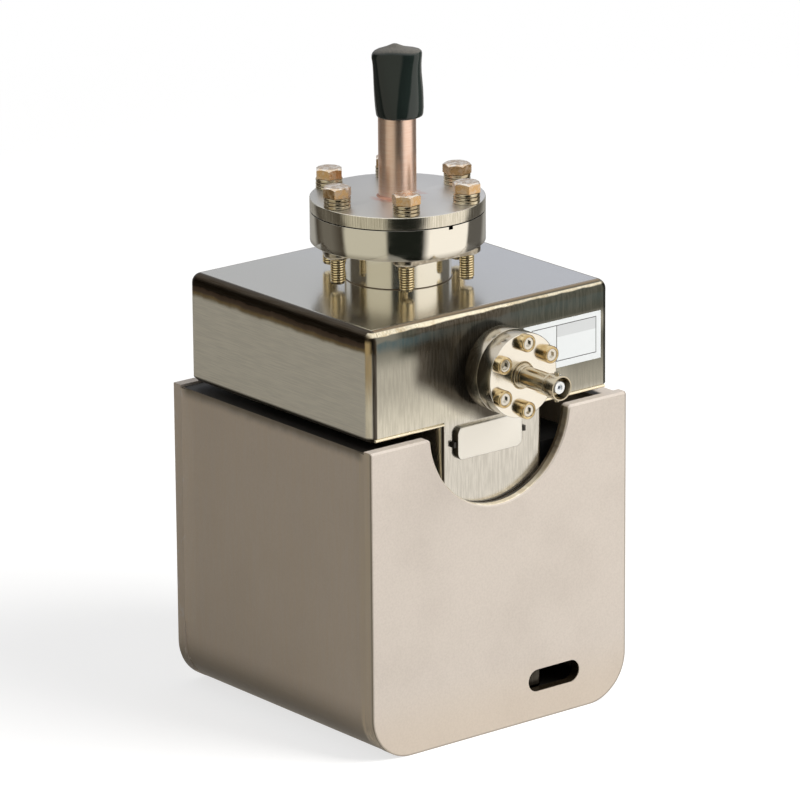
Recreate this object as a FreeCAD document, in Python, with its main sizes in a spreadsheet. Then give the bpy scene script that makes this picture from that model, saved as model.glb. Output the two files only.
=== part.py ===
import FreeCAD, Part
import math
import os
import Sketcher
from collections import namedtuple
from FreeCAD import Placement, Rotation, Vector

# Sputter-ion pump, with its port blanked off by a pinched copper tube for shipping.
# Lengths are in millimetres. +Z is up, the high-voltage feedthrough faces -Y, and the
# origin is the centre of the magnet housing's base.

doc = FreeCAD.newDocument("IonPump")
sheet = doc.addObject("Spreadsheet::Sheet", "Sizes")
sub_parts = []


class Size:
    """A length with the sheet expression that gives it, so that sums of sizes stay bound."""

    def __init__(self, number, text):
        self.number = number
        self.text = text

    def joined(self, sign, other, number):
        return Size(number, f"({self.text} {sign} {as_size(other).text})")

    def __add__(self, other):
        return self.joined("+", other, self.number + as_size(other).number)

    def __sub__(self, other):
        return self.joined("-", other, self.number - as_size(other).number)

    def __mul__(self, other):
        return self.joined("*", other, self.number * as_size(other).number)

    def __truediv__(self, other):
        return self.joined("/", other, self.number / as_size(other).number)

    def __neg__(self):
        return self * -1

    def __rsub__(self, other):
        return as_size(other) - self

    __radd__ = __add__
    __rmul__ = __mul__


def as_size(value):
    return value if isinstance(value, Size) else Size(value, f"({value})")


def size(name, value):
    """One driving dimension: a cell of the sheet, whose alias is its name."""
    row = len(sheet.getUsedCells()) + 1
    sheet.set(f"A{row}", str(value))
    sheet.setAlias(f"A{row}", name)
    return Size(value, f"Sizes.{name}")


# Magnet housing: a thick yoke plate bent to a U, closed by a flat panel at each end
housing_width = size("housing_width", 129.0)
housing_depth = size("housing_depth", 125.7)
housing_height = size("housing_height", 126.8)
yoke_thickness = size("yoke_thickness", 10.0)
yoke_inner_bend = size("yoke_inner_bend", 7.9)
panel_thickness = size("panel_thickness", 4.5)
panel_reveal = size("panel_reveal", 0.9)
notch_radius = size("notch_radius", 34.9)
notch_centre_rise = size("notch_centre_rise", 2.0)
notch_lip = size("notch_lip", 0.8)
notch_corner = size("notch_corner", 2.0)
slot_length = size("slot_length", 26.3)
slot_height = size("slot_height", 9.2)
slot_from_centre = size("slot_from_centre", 27.3)
slot_rise = size("slot_rise", 16.2)

# Magnets, one block against each side of the yoke
magnet_end_gap = size("magnet_end_gap", 8.35)
magnet_rise = size("magnet_rise", 20.0)
magnet_headroom = size("magnet_headroom", 17.0)
magnet_chamfer = size("magnet_chamfer", 1.5)
magnet_gap = size("magnet_gap", 0.8)

# Welded vacuum vessel: a flat chamber, and a narrow pocket that hangs between the magnets
vessel_clearance = size("vessel_clearance", 0.8)
chamber_width = size("chamber_width", 120.9)
chamber_height = size("chamber_height", 44.2)
chamber_gap = size("chamber_gap", 1.8)
chamber_wall = size("chamber_wall", 2.5)
chamber_edge = size("chamber_edge", 4.0)
chamber_lower_edge = size("chamber_lower_edge", 1.6)
floor_thickness = size("floor_thickness", 3.0)
floor_bridge = size("floor_bridge", 4.0)
pocket_width = size("pocket_width", 52.0)
pocket_wall = size("pocket_wall", 1.5)
pocket_edge = size("pocket_edge", 2.5)

# Main port: a neck with a bolted knife-edge flange of 70 mm outside diameter
neck_length = size("neck_length", 15.1)
neck_wall = size("neck_wall", 2.15)
port_diameter = size("port_diameter", 69.3)
port_thickness = size("port_thickness", 12.7)
port_bolt_edge = size("port_bolt_edge", 5.3)
port_gasket_inset = size("port_gasket_inset", 5.2)
port_knife_inset = size("port_knife_inset", 3.2)
port_bore_inset = size("port_bore_inset", 1.95)
port_hole_diameter = size("port_hole_diameter", 6.7)
gasket_thickness = size("gasket_thickness", 2.0)
gasket_clearance = size("gasket_clearance", 0.05)
knife_height = size("knife_height", 0.8)
leak_groove_width = size("leak_groove_width", 2.0)
leak_groove_depth = size("leak_groove_depth", 1.7)

# Blank plate and its pinched copper tube, and the soft cap over the pinch
blank_thickness = size("blank_thickness", 4.9)
tube_diameter = size("tube_diameter", 15.0)
tube_wall = size("tube_wall", 1.5)
tube_straight = size("tube_straight", 34.8)
pinch_length = size("pinch_length", 22.5)
pinch_edge = size("pinch_edge", 1.2)
pinch_slit = size("pinch_slit", 0.1)
cap_wall = size("cap_wall", 2.1)
cap_clearance = size("cap_clearance", 0.2)
cap_overlap = size("cap_overlap", 3.5)
cap_crown = size("cap_crown", 2.6)
cap_top_depth = size("cap_top_depth", 9.4)
cap_roof = size("cap_roof", 3.8)
PINCH_TURN = -30

# Bolts, washers and plate nuts of the main port
bolt_diameter = size("bolt_diameter", 6.0)
bolt_length = size("bolt_length", 35.0)
bolt_head_height = size("bolt_head_height", 4.0)
bolt_across_flats = size("bolt_across_flats", 10.0)
bolt_head_chamfer = size("bolt_head_chamfer", 0.6)
spring_washer_diameter = size("spring_washer_diameter", 10.8)
spring_washer_thickness = size("spring_washer_thickness", 1.45)
spring_washer_gap = size("spring_washer_gap", 0.05)
spring_washer_split = size("spring_washer_split", 0.8)
nut_thickness = size("nut_thickness", 2.2)
nut_width = size("nut_width", 11.0)
nut_collar_diameter = size("nut_collar_diameter", 9.2)
nut_collar_height = size("nut_collar_height", 0.8)
nut_neck_clearance = size("nut_neck_clearance", 0.6)
thread_clearance = size("thread_clearance", 0.05)
BOLT_COUNT = 6
BOLT_STEP = 360 / BOLT_COUNT
PORT_TURN = -2.2
WASHERS_PER_BOLT = 3
SMALL_RING_SIDES = 16
CROWN_TAPER = -45

# High-voltage feedthrough: a pair of knife-edge flanges of 34 mm outside diameter
hv_rise = size("hv_rise", 20.5)
hv_stub_length = size("hv_stub_length", 4.1)
hv_stub_wall = size("hv_stub_wall", 1.5)
hv_diameter = size("hv_diameter", 33.8)
hv_thickness = size("hv_thickness", 7.5)
hv_bolt_edge = size("hv_bolt_edge", 3.4)
hv_gasket_inset = size("hv_gasket_inset", 2.85)
hv_knife_inset = size("hv_knife_inset", 1.5)
hv_bore_inset = size("hv_bore_inset", 1.15)
hv_hole_diameter = size("hv_hole_diameter", 4.4)
screw_diameter = size("screw_diameter", 4.0)
screw_length = size("screw_length", 14.0)
screw_head_diameter = size("screw_head_diameter", 7.0)
screw_head_height = size("screw_head_height", 3.6)
screw_socket_flats = size("screw_socket_flats", 3.0)
screw_socket_depth = size("screw_socket_depth", 2.0)

# Coaxial connector on the feedthrough flange
insulator_seat = size("insulator_seat", 5.0)
insulator_collar = size("insulator_collar", 4.0)
insulator_radius = size("insulator_radius", 2.4)
insulator_tail = size("insulator_tail", 3.5)
insulator_tail_length = size("insulator_tail_length", 3.0)
insulator_recess = size("insulator_recess", 1.2)
connector_length = size("connector_length", 23.0)
collar_depth = size("collar_depth", 1.6)
barrel_radius = size("barrel_radius", 4.1)
barrel_wall = size("barrel_wall", 0.9)
mouth_length = size("mouth_length", 5.4)
mouth_step = size("mouth_step", 0.8)
mouth_wall = size("mouth_wall", 0.7)
lug_radius = size("lug_radius", 1.0)
lug_height = size("lug_height", 1.0)
lug_from_tip = size("lug_from_tip", 3.0)
contact_radius = size("contact_radius", 1.3)
contact_bore = size("contact_bore", 0.7)
contact_bore_depth = size("contact_bore_depth", 5.0)
contact_recess = size("contact_recess", 0.4)
contact_tail = size("contact_tail", 2.0)
lead_width = size("lead_width", 2.2)
lead_thickness = size("lead_thickness", 1.0)
lead_bend = size("lead_bend", 6.0)
lead_reach = size("lead_reach", 20.0)

# Pump element in the pocket: anode cells between two titanium cathodes
element_end_gap = size("element_end_gap", 7.05)
element_foot = size("element_foot", 10.0)
element_headroom = size("element_headroom", 6.0)
bracket_thickness = size("bracket_thickness", 1.0)
bracket_lip = size("bracket_lip", 6.0)
standoff_length = size("standoff_length", 7.0)
standoff_radius = size("standoff_radius", 3.0)
standoff_spread = size("standoff_spread", 26.0)
shield_radius = size("shield_radius", 5.0)
shield_depth = size("shield_depth", 4.0)
shield_wall = size("shield_wall", 0.5)
band_thickness = size("band_thickness", 1.0)
band_width = size("band_width", 20.0)
cell_wall = size("cell_wall", 0.6)
cell_clearance = size("cell_clearance", 0.05)
cathode_thickness = size("cathode_thickness", 1.5)
cathode_wall_gap = size("cathode_wall_gap", 3.6)
discharge_gap = size("discharge_gap", 6.0)
CELL_COLUMNS = 4

# Bare plates on the front of the vessel
name_plate_width = size("name_plate_width", 32.9)
name_plate_height = size("name_plate_height", 13.3)
name_plate_thickness = size("name_plate_thickness", 2.0)
name_plate_corner = size("name_plate_corner", 3.0)
name_plate_drop = size("name_plate_drop", 1.2)
name_plate_offset = size("name_plate_offset", 2.45)
tab_gap = size("tab_gap", 0.6)
tab_thickness = size("tab_thickness", 1.1)
tab_height = size("tab_height", 2.2)
tab_reach = size("tab_reach", 1.8)
label_width = size("label_width", 39.6)
label_height = size("label_height", 19.4)
label_thickness = size("label_thickness", 0.2)
label_rise = size("label_rise", 12.8)
label_from_edge = size("label_from_edge", 4.75)

# Places that follow from the sizes
panel_inner_face = housing_depth / 2 - panel_thickness
yoke_half = housing_width / 2 - panel_reveal
yoke_outer_bend = yoke_inner_bend + yoke_thickness
yoke_top = housing_height - panel_reveal
pocket_half = pocket_width / 2
pocket_floor = yoke_thickness + pocket_wall
front_wall = panel_inner_face - vessel_clearance
chamber_base = housing_height + chamber_gap
chamber_top = chamber_base + chamber_height
chamber_inner_width = chamber_width / 2 - chamber_wall
chamber_inner_depth = front_wall - chamber_wall
inner_half_depth = front_wall - pocket_wall
hv_height = chamber_base + hv_rise
port_back = chamber_top + neck_length
port_face = port_back + port_thickness
blank_top = port_face + blank_thickness
washer_pitch = spring_washer_thickness + spring_washer_gap
bolt_seat = blank_top + washer_pitch * WASHERS_PER_BOLT
hv_face = hv_stub_length + hv_thickness
hv_front = hv_face + hv_thickness
connector_tip = hv_front + connector_length

Seal = namedtuple("Seal", "radius bolt_radius gasket_radius knife_radius bore_radius")


def seal(diameter, bolt_edge, gasket_inset, knife_inset, bore_inset):
    """The radii of a flange pair, each set in from the one outside it."""
    bolt_radius = diameter / 2 - bolt_edge
    gasket_radius = bolt_radius - gasket_inset
    knife_radius = gasket_radius - knife_inset
    return Seal(diameter / 2, bolt_radius, gasket_radius, knife_radius, knife_radius - bore_inset)


port = seal(port_diameter, port_bolt_edge, port_gasket_inset, port_knife_inset, port_bore_inset)
hv = seal(hv_diameter, hv_bolt_edge, hv_gasket_inset, hv_knife_inset, hv_bore_inset)
neck_radius = port.bore_radius + neck_wall
hv_stub_radius = hv.bore_radius + hv_stub_wall

XY = "XY_Plane"
XZ = "XZ_Plane"
YZ = "YZ_Plane"
TOUCH = 1e-4
BEYOND = 1


# Sketches and features

def bind(item, path, value):
    item.setExpression(path, as_size(value).text)


def new_body(label):
    body = doc.addObject("PartDesign::Body", label)
    body.Label = label
    sub_parts.append(body)
    return body


def origin_part(body, role):
    return next(item for item in body.Origin.OriginFeatures if item.Role == role)


def sketch(body, plane, offset=0):
    """A sketch on one of the body's planes, moved along the plane's normal.

    XY faces +Z, YZ faces +X, and XZ faces -Y, so there an offset counts towards the front.
    """
    drawing = body.newObject("Sketcher::SketchObject", "Sketch")
    drawing.AttachmentSupport = (origin_part(body, plane), [""])
    drawing.MapMode = "FlatFace"
    bind(drawing, "AttachmentOffset.Base.z", offset)
    return drawing


def measure(drawing, *dimensions):
    """Add dimensions to a sketch, each a size, its kind and what it measures, and bind them."""
    first = drawing.ConstraintCount
    drawing.addConstraint([Sketcher.Constraint(kind, *curves, as_size(value).number)
                           for value, kind, *curves in dimensions])
    for place, dimension in enumerate(dimensions):
        bind(drawing, f"Constraints[{first + place}]", dimension[0])


def from_origin(curve, end, u, v):
    """The two dimensions that place one point of a curve from the sketch's origin."""
    return [(u, "DistanceX", -1, 1, curve, end), (v, "DistanceY", -1, 1, curve, end)]


def hold(drawing, curve, end, u, v):
    measure(drawing, *from_origin(curve, end, u, v))


def spot(u, v):
    return Vector(as_size(u).number, as_size(v).number, 0)


def polygon(drawing, corners):
    """A closed outline of straight edges through the corners."""
    first = drawing.GeometryCount
    edges = []
    joints = []
    places = []
    for step, corner in enumerate(corners):
        following = (step + 1) % len(corners)
        edges.append(Part.LineSegment(spot(*corner), spot(*corners[following])))
        joints.append(Sketcher.Constraint("Coincident", first + step, 2, first + following, 1))
        places += from_origin(first + step, 1, *corner)
    drawing.addGeometry(edges, False)
    drawing.addConstraint(joints)
    measure(drawing, *places)


def rectangle(drawing, left, right, low, high):
    polygon(drawing, [(left, low), (right, low), (right, high), (left, high)])


def circle(drawing, radius, u=0, v=0):
    ring = Part.Circle(spot(u, v), Vector(0, 0, 1), as_size(radius).number)
    curve = drawing.addGeometry(ring, False)
    measure(drawing, *from_origin(curve, 3, u, v), (radius, "Radius", curve))


def obround(drawing, start, end, radius):
    """Two half circles about the end points, joined by their tangents."""
    near = spot(*start)
    far = spot(*end)
    heading = math.atan2(far.y - near.y, far.x - near.x)
    side = Vector(-math.sin(heading), math.cos(heading), 0) * radius.number
    quarter = math.pi / 2
    up = Vector(0, 0, 1)
    far_end = Part.ArcOfCircle(Part.Circle(far, up, radius.number), heading - quarter, heading + quarter)
    near_end = Part.ArcOfCircle(
        Part.Circle(near, up, radius.number), heading + quarter, heading + 3 * quarter)
    curves = [
        drawing.addGeometry(far_end, False),
        drawing.addGeometry(Part.LineSegment(far + side, near + side), False),
        drawing.addGeometry(near_end, False),
        drawing.addGeometry(Part.LineSegment(near - side, far - side), False),
    ]
    for step in range(4):
        joint = Sketcher.Constraint("Tangent", curves[step], 2, curves[(step + 1) % 4], 1)
        drawing.addConstraint(joint)
    drawing.addConstraint(Sketcher.Constraint("Equal", curves[0], curves[2]))
    measure(drawing, *from_origin(curves[0], 3, *end), *from_origin(curves[2], 3, *start),
            (radius, "Radius", curves[0]))


def many_sided(drawing, sides, across_flats, u=0, v=0, first_corner=0):
    """A regular polygon about (u, v), with its first corner at an angle in degrees."""
    corner_radius = across_flats / 2 / math.cos(math.pi / sides)
    corners = []
    for step in range(sides):
        angle = math.radians(first_corner + 360 * step / sides)
        corners.append((u + corner_radius * math.cos(angle), v + corner_radius * math.sin(angle)))
    polygon(drawing, corners)


def pad(body, drawing, length, middle=False, back=False, taper=0):
    feature = body.newObject("PartDesign::Pad", "Pad")
    feature.TaperAngle = taper
    feature.Profile = (drawing, [""])
    feature.Midplane = middle
    feature.Reversed = back
    bind(feature, "Length", length)
    return feature


def cut(body, drawing, depth=None, back=False):
    """Cut a sketch's outlines out against its normal, or right through if no depth is given."""
    feature = body.newObject("PartDesign::Pocket", "Pocket")
    feature.Profile = (drawing, [""])
    feature.Reversed = back
    if depth is None:
        feature.Type = "ThroughAll"
        feature.Midplane = True
    else:
        bind(feature, "Length", depth)
    return feature


def turn(body, corners):
    """Turn an outline of (radius, height) corners about the body's Z axis."""
    drawing = sketch(body, XZ)
    polygon(drawing, corners)
    feature = body.newObject("PartDesign::Revolution", "Revolution")
    feature.Profile = (drawing, [""])
    feature.ReferenceAxis = (drawing, ["V_Axis"])
    feature.Angle = 360


def ring_of(body, features, count=BOLT_COUNT):
    """Repeat features about the body's own Z axis."""
    pattern = body.newObject("PartDesign::PolarPattern", "Ring")
    pattern.Originals = features
    pattern.Axis = (origin_part(body, "Z_Axis"), [""])
    pattern.Angle = 360
    pattern.Occurrences = count
    body.Tip = pattern


def edge_points(edge):
    middle = edge.valueAt((edge.FirstParameter + edge.LastParameter) / 2)
    return [vertex.Point for vertex in edge.Vertexes] + [middle]


def lies_at(edge, axis, place):
    """Whether the whole edge lies at one place along an axis."""
    return all(abs(getattr(point, axis) - as_size(place).number) < TOUCH for point in edge_points(edge))


def runs_along(edge, axis):
    """Whether the edge is straight and parallel to an axis."""
    points = edge_points(edge)
    others = [name for name in "xyz" if name != axis]
    return all(abs(getattr(points[0], name) - getattr(point, name)) < TOUCH
               for name in others for point in points)


def dress(body, kind, path, amount, wanted):
    """Fillet or chamfer the edges of the body's last feature that the test picks."""
    doc.recompute()
    base = body.Tip
    names = [f"Edge{index}" for index, edge in enumerate(base.Shape.Edges, 1) if wanted(edge)]
    feature = body.newObject(f"PartDesign::{kind}", kind)
    feature.Base = (base, names)
    bind(feature, path, amount)


def fillet(body, radius, wanted):
    dress(body, "Fillet", "Radius", radius, wanted)


def chamfer(body, amount, wanted):
    dress(body, "Chamfer", "Size", amount, wanted)


def turn_about_port(item, angle=PORT_TURN):
    item.Placement = Placement(Vector(0, 0, 0), Rotation(Vector(0, 0, 1), angle))


def stand_on_front(body, angle=0):
    """Turn the body's own +Z towards the front, from the chamber's wall at the feedthrough."""
    forward = Rotation(Vector(1, 0, 0), 90)
    body.Placement = Placement(Vector(0, 0, 0), forward * Rotation(Vector(0, 0, 1), angle))
    bind(body, "Placement.Base.y", -front_wall)
    bind(body, "Placement.Base.z", hv_height)


# Magnet housing

def build_yoke():
    """The U-shaped plate that carries the magnets and closes their flux."""
    body = new_body("yoke")
    inner_half = yoke_half - yoke_thickness
    section = sketch(body, XZ)
    polygon(section, [
        (-yoke_half, 0), (yoke_half, 0), (yoke_half, yoke_top), (inner_half, yoke_top),
        (inner_half, yoke_thickness), (-inner_half, yoke_thickness), (-inner_half, yoke_top),
        (-yoke_half, yoke_top)])
    pad(body, section, panel_inner_face * 2, middle=True)
    fillet(body, yoke_outer_bend, lambda edge: runs_along(edge, "y") and lies_at(edge, "z", 0))
    fillet(body, yoke_inner_bend,
           lambda edge: runs_along(edge, "y") and lies_at(edge, "z", yoke_thickness)
           and abs(abs(edge.Vertexes[0].X) - inner_half.number) < TOUCH)


def panel_blank(label, offset, back):
    """A flat end panel, whose lower corners follow the yoke's bends."""
    body = new_body(label)
    face = sketch(body, XZ, offset)
    rectangle(face, -housing_width / 2, housing_width / 2, 0, housing_height)
    pad(body, face, panel_thickness, back=back)
    fillet(body, yoke_outer_bend + panel_reveal,
           lambda edge: runs_along(edge, "y") and lies_at(edge, "z", 0))
    return body


def build_front_panel():
    """The panel with a half-round notch round the feedthrough and a slot low on the right."""
    body = panel_blank("front_panel", panel_inner_face, back=False)
    notch = sketch(body, XZ)
    circle(notch, notch_radius, 0, housing_height + notch_centre_rise)
    cut(body, notch)
    slot = sketch(body, XZ)
    reach = (slot_length - slot_height) / 2
    obround(slot, (slot_from_centre - reach, slot_rise), (slot_from_centre + reach, slot_rise),
            slot_height / 2)
    cut(body, slot)
    fillet(body, notch_corner,
           lambda edge: runs_along(edge, "y") and lies_at(edge, "z", housing_height)
           and abs(edge.Vertexes[0].X) < notch_radius.number + TOUCH)
    chamfer(body, notch_lip,
            lambda edge: lies_at(edge, "y", -housing_depth / 2)
            and isinstance(edge.Curve, Part.Circle)
            and abs(edge.Curve.Radius - notch_radius.number) < TOUCH)


def build_magnet(label, side):
    """A ferrite block, glued to the inside of one arm of the yoke."""
    body = new_body(label)
    near = pocket_half + magnet_gap
    far = yoke_half - yoke_thickness
    section = sketch(body, XZ)
    left, right = sorted((near * side, far * side), key=lambda place: place.number)
    rectangle(section, left, right, magnet_rise, housing_height - magnet_headroom)
    pad(body, section, (panel_inner_face - magnet_end_gap) * 2, middle=True)
    chamfer(body, magnet_chamfer, lambda edge: runs_along(edge, "y"))


# Vacuum vessel

def build_chamber_shell():
    """The upper box, folded and welded from sheet, with rounded edges and an open base."""
    body = new_body("chamber_shell")
    outline = sketch(body, XY, chamber_base)
    rectangle(outline, -chamber_width / 2, chamber_width / 2, -front_wall, front_wall)
    pad(body, outline, chamber_height)
    fillet(body, chamber_edge, lambda edge: not lies_at(edge, "z", chamber_base))
    chamfer(body, chamber_lower_edge, lambda edge: lies_at(edge, "z", chamber_base))
    inside = sketch(body, XY, chamber_base)
    rectangle(inside, -chamber_inner_width, chamber_inner_width, -chamber_inner_depth, chamber_inner_depth)
    cut(body, inside, chamber_height - chamber_wall, back=True)
    mouth = sketch(body, XY, chamber_top)
    circle(mouth, neck_radius)
    cut(body, mouth, chamber_wall)
    side_mouth = sketch(body, XZ, front_wall)
    circle(side_mouth, hv_stub_radius, 0, hv_height)
    cut(body, side_mouth, chamber_wall)


def build_chamber_floor():
    """The plate welded in between the chamber's walls, open above the pocket."""
    body = new_body("chamber_floor")
    outline = sketch(body, XY, chamber_base)
    rectangle(outline, -chamber_inner_width, chamber_inner_width, -chamber_inner_depth, chamber_inner_depth)
    pad(body, outline, floor_thickness)
    opening = sketch(body, XY, chamber_base)
    half_opening = pocket_half - pocket_wall
    end = chamber_inner_depth - floor_bridge
    rectangle(opening, -half_opening, half_opening, -end, end)
    cut(body, opening)


def build_pump_pocket():
    """The narrow well under the chamber, which stands on the yoke's floor."""
    body = new_body("pump_pocket")
    outline = sketch(body, XY, yoke_thickness)
    rectangle(outline, -pocket_half, pocket_half, -front_wall, front_wall)
    pad(body, outline, chamber_base - yoke_thickness)
    fillet(body, pocket_edge, lambda edge: not lies_at(edge, "z", chamber_base))
    inside = sketch(body, XY, chamber_base)
    half_width = pocket_half - pocket_wall
    rectangle(inside, -half_width, half_width, -inner_half_depth, inner_half_depth)
    cut(body, inside, chamber_base - pocket_floor)


def build_tube(label, outer, wall, low, high):
    """A plain tube about the body's Z axis."""
    body = new_body(label)
    turn(body, [(outer - wall, low), (outer, low), (outer, high), (outer - wall, high)])
    return body


def knife_flange(label, radii, back, thickness, up, bore, hole):
    """A flange with a knife edge, drawn from its back face towards its sealing face.

    up is 1 or -1, the way the sealing face looks. The sealing faces of a pair touch, and
    the knife edges reach the gasket between them.
    """
    body = new_body(label)
    face = back + up * thickness
    edge = face - up * gasket_thickness / 2
    floor = edge - up * knife_height
    recess = radii.gasket_radius + gasket_clearance
    turn(body, [
        (radii.radius, back), (radii.radius, face), (recess, face), (recess, floor),
        (radii.knife_radius, edge), (bore, floor), (bore, back)])
    first_hole = sketch(body, XY, face)
    many_sided(first_hole, SMALL_RING_SIDES, hole, radii.bolt_radius)
    ring_of(body, [cut(body, first_hole)])
    return body


def leak_grooves(body, radii, face):
    """Two grooves across a flange's rim, through which helium reaches the gasket."""
    grooves = sketch(body, XY, face)
    half = leak_groove_width / 2
    rectangle(grooves, -half, half, -radii.radius - BEYOND, -radii.gasket_radius)
    rectangle(grooves, -half, half, radii.gasket_radius, radii.radius + BEYOND)
    body.Tip = cut(body, grooves, leak_groove_depth)


def build_gasket(label, radii, face):
    """The flat copper ring between two knife edges."""
    half = gasket_thickness / 2
    width = radii.gasket_radius - radii.bore_radius
    return build_tube(label, radii.gasket_radius, width, face - half, face + half)


tube_radius = tube_diameter / 2
tube_bore = tube_radius - tube_wall
tube_foot = port_face + gasket_thickness / 2 + knife_height
pinch_start = blank_top + tube_straight
tube_tip = pinch_start + pinch_length
pinch_slope = (tube_radius - pinch_edge / 2) / pinch_length
slit_top = pinch_start + (tube_bore - pinch_slit) / pinch_slope
cap_bottom = pinch_start - cap_overlap
cap_ceiling = tube_tip + cap_clearance
cap_peak = cap_ceiling + cap_roof
cap_bore = tube_radius + cap_clearance
cap_radius = cap_bore + cap_wall


def squeezed(name, corners, low, low_reach, high, high_reach):
    """A turned solid whose two sides are pressed to flats that lean together.

    The flats start low at one reach from the middle, and end high at the other.
    """
    body = doc.addObject("PartDesign::Body", name)
    turn(body, corners)
    jaws = sketch(body, YZ)
    beyond = low_reach * 2
    for side in (1, -1):
        polygon(jaws, [(low_reach * side, low), (beyond * side, high), (high_reach * side, high)])
    cut(body, jaws)
    turn_about_port(body, PINCH_TURN)
    return body


def cut_away(label, outside, inside):
    """Keep the outside solid without the inside one, as a finished sub-part."""
    remainder = doc.addObject("Part::Cut", label)
    remainder.Base = outside
    remainder.Tool = inside
    sub_parts.append(remainder)


def build_pinch_off_tube():
    """The copper tube, squeezed shut and parted by the pinch-off jaws."""
    outside = squeezed(
        "TubeOutside",
        [(0, tube_foot), (tube_radius, tube_foot), (tube_radius, tube_tip), (0, tube_tip)],
        pinch_start, tube_radius, tube_tip, pinch_edge / 2)
    inside = squeezed(
        "TubeInside",
        [(0, tube_foot), (tube_bore, tube_foot), (tube_bore, slit_top), (0, slit_top)],
        pinch_start, tube_bore, slit_top, pinch_slit)
    cut_away("pinch_off_tube", outside, inside)


def build_pinch_off_cap():
    """The soft cap, round where it grips the tube, flatter over the pinch and crowned."""
    outside = squeezed(
        "CapOutside",
        [(0, cap_bottom), (cap_radius, cap_bottom), (cap_radius, cap_peak - cap_crown), (0, cap_peak)],
        pinch_start, cap_radius, cap_peak, cap_top_depth / 2)
    inside = squeezed(
        "CapInside",
        [(0, cap_bottom), (cap_bore, cap_bottom), (cap_bore, cap_ceiling), (0, cap_ceiling)],
        pinch_start, cap_bore, cap_ceiling, pinch_edge / 2 + cap_clearance)
    cut_away("pinch_off_cap", outside, inside)


# Fasteners of the main port

def build_port_bolts():
    """Hex bolts, their heads chamfered, on the port's bolt circle."""
    body = new_body("port_bolts")
    centre = port.bolt_radius
    shank_outline = sketch(body, XY, bolt_seat - bolt_length)
    many_sided(shank_outline, SMALL_RING_SIDES, bolt_diameter, centre)
    shank = pad(body, shank_outline, bolt_length)
    crown_seat = bolt_seat + bolt_head_height - bolt_head_chamfer
    head_outline = sketch(body, XY, bolt_seat)
    many_sided(head_outline, 6, bolt_across_flats, centre)
    head = pad(body, head_outline, bolt_head_height - bolt_head_chamfer)
    crown_outline = sketch(body, XY, crown_seat)
    many_sided(crown_outline, 6, bolt_across_flats, centre)
    crown = pad(body, crown_outline, bolt_head_chamfer, taper=CROWN_TAPER)
    ring_of(body, [shank, head, crown])
    turn_about_port(body)


def build_spring_washers():
    """Three split washers under each bolt head."""
    body = new_body("spring_washers")
    centre = port.bolt_radius
    bore = bolt_diameter + thread_clearance * 2
    features = []
    for place in range(WASHERS_PER_BOLT):
        rings = sketch(body, XY, blank_top + spring_washer_gap + washer_pitch * place)
        many_sided(rings, SMALL_RING_SIDES, spring_washer_diameter, centre)
        many_sided(rings, SMALL_RING_SIDES, bore, centre)
        features.append(pad(body, rings, spring_washer_thickness))
    split = sketch(body, XY, blank_top)
    half = spring_washer_split / 2
    rectangle(split, centre, centre + spring_washer_diameter, -half, half)
    features.append(cut(body, split))
    ring_of(body, features)
    turn_about_port(body)


def build_plate_nuts():
    """Three strips under the flange, each threaded for two bolts and hollowed for the neck."""
    body = new_body("plate_nuts")
    centre = port.bolt_radius
    step = math.radians(BOLT_STEP)
    second = (centre * math.cos(step), centre * math.sin(step))
    strip = sketch(body, XY, port_back - nut_thickness)
    obround(strip, (centre, as_size(0)), second, nut_width / 2)
    plate = pad(body, strip, nut_thickness)
    collars = sketch(body, XY, port_back - nut_thickness)
    threads = sketch(body, XY, port_back)
    for (u, v), heading in (((centre, 0), 0), (second, BOLT_STEP)):
        many_sided(collars, SMALL_RING_SIDES, nut_collar_diameter, u, v, heading)
        many_sided(threads, SMALL_RING_SIDES, bolt_diameter + thread_clearance * 2, u, v, heading)
    raised = pad(body, collars, nut_collar_height, back=True)
    drilled = cut(body, threads)
    scallop = sketch(body, XY, port_back)
    circle(scallop, neck_radius + nut_neck_clearance)
    ring_of(body, [plate, raised, drilled, cut(body, scallop)], BOLT_COUNT // 2)
    turn_about_port(body)


# High-voltage feedthrough, drawn about its own axis

def build_feedthrough_flanges():
    """The fixed small flange on its stub, its gasket and the flange that carries the connector."""
    stub = build_tube("hv_stub_tube", hv_stub_radius, hv_stub_wall, -chamber_wall, hv_stub_length)
    fixed = knife_flange(
        "hv_port_flange", hv, hv_stub_length, hv_thickness, 1, hv.bore_radius,
        screw_diameter + thread_clearance * 2)
    carrier = knife_flange(
        "hv_feedthrough_flange", hv, hv_front, hv_thickness, -1, insulator_seat, hv_hole_diameter)
    for body in (stub, fixed, build_gasket("hv_gasket", hv, hv_face), carrier):
        stand_on_front(body, BOLT_STEP / 2)


def build_feedthrough_screws():
    """Socket-head screws on the small flange's bolt circle."""
    screws = new_body("hv_screws")
    centre = hv.bolt_radius
    shank_outline = sketch(screws, XY, hv_front - screw_length)
    many_sided(shank_outline, SMALL_RING_SIDES, screw_diameter, centre)
    shank = pad(screws, shank_outline, screw_length)
    head_outline = sketch(screws, XY, hv_front)
    circle(head_outline, screw_head_diameter / 2, centre)
    head = pad(screws, head_outline, screw_head_height)
    key = sketch(screws, XY, hv_front + screw_head_height)
    many_sided(key, 6, screw_socket_flats, centre)
    ring_of(screws, [shank, head, cut(screws, key, screw_socket_depth)])
    stand_on_front(screws, BOLT_STEP / 2)


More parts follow.
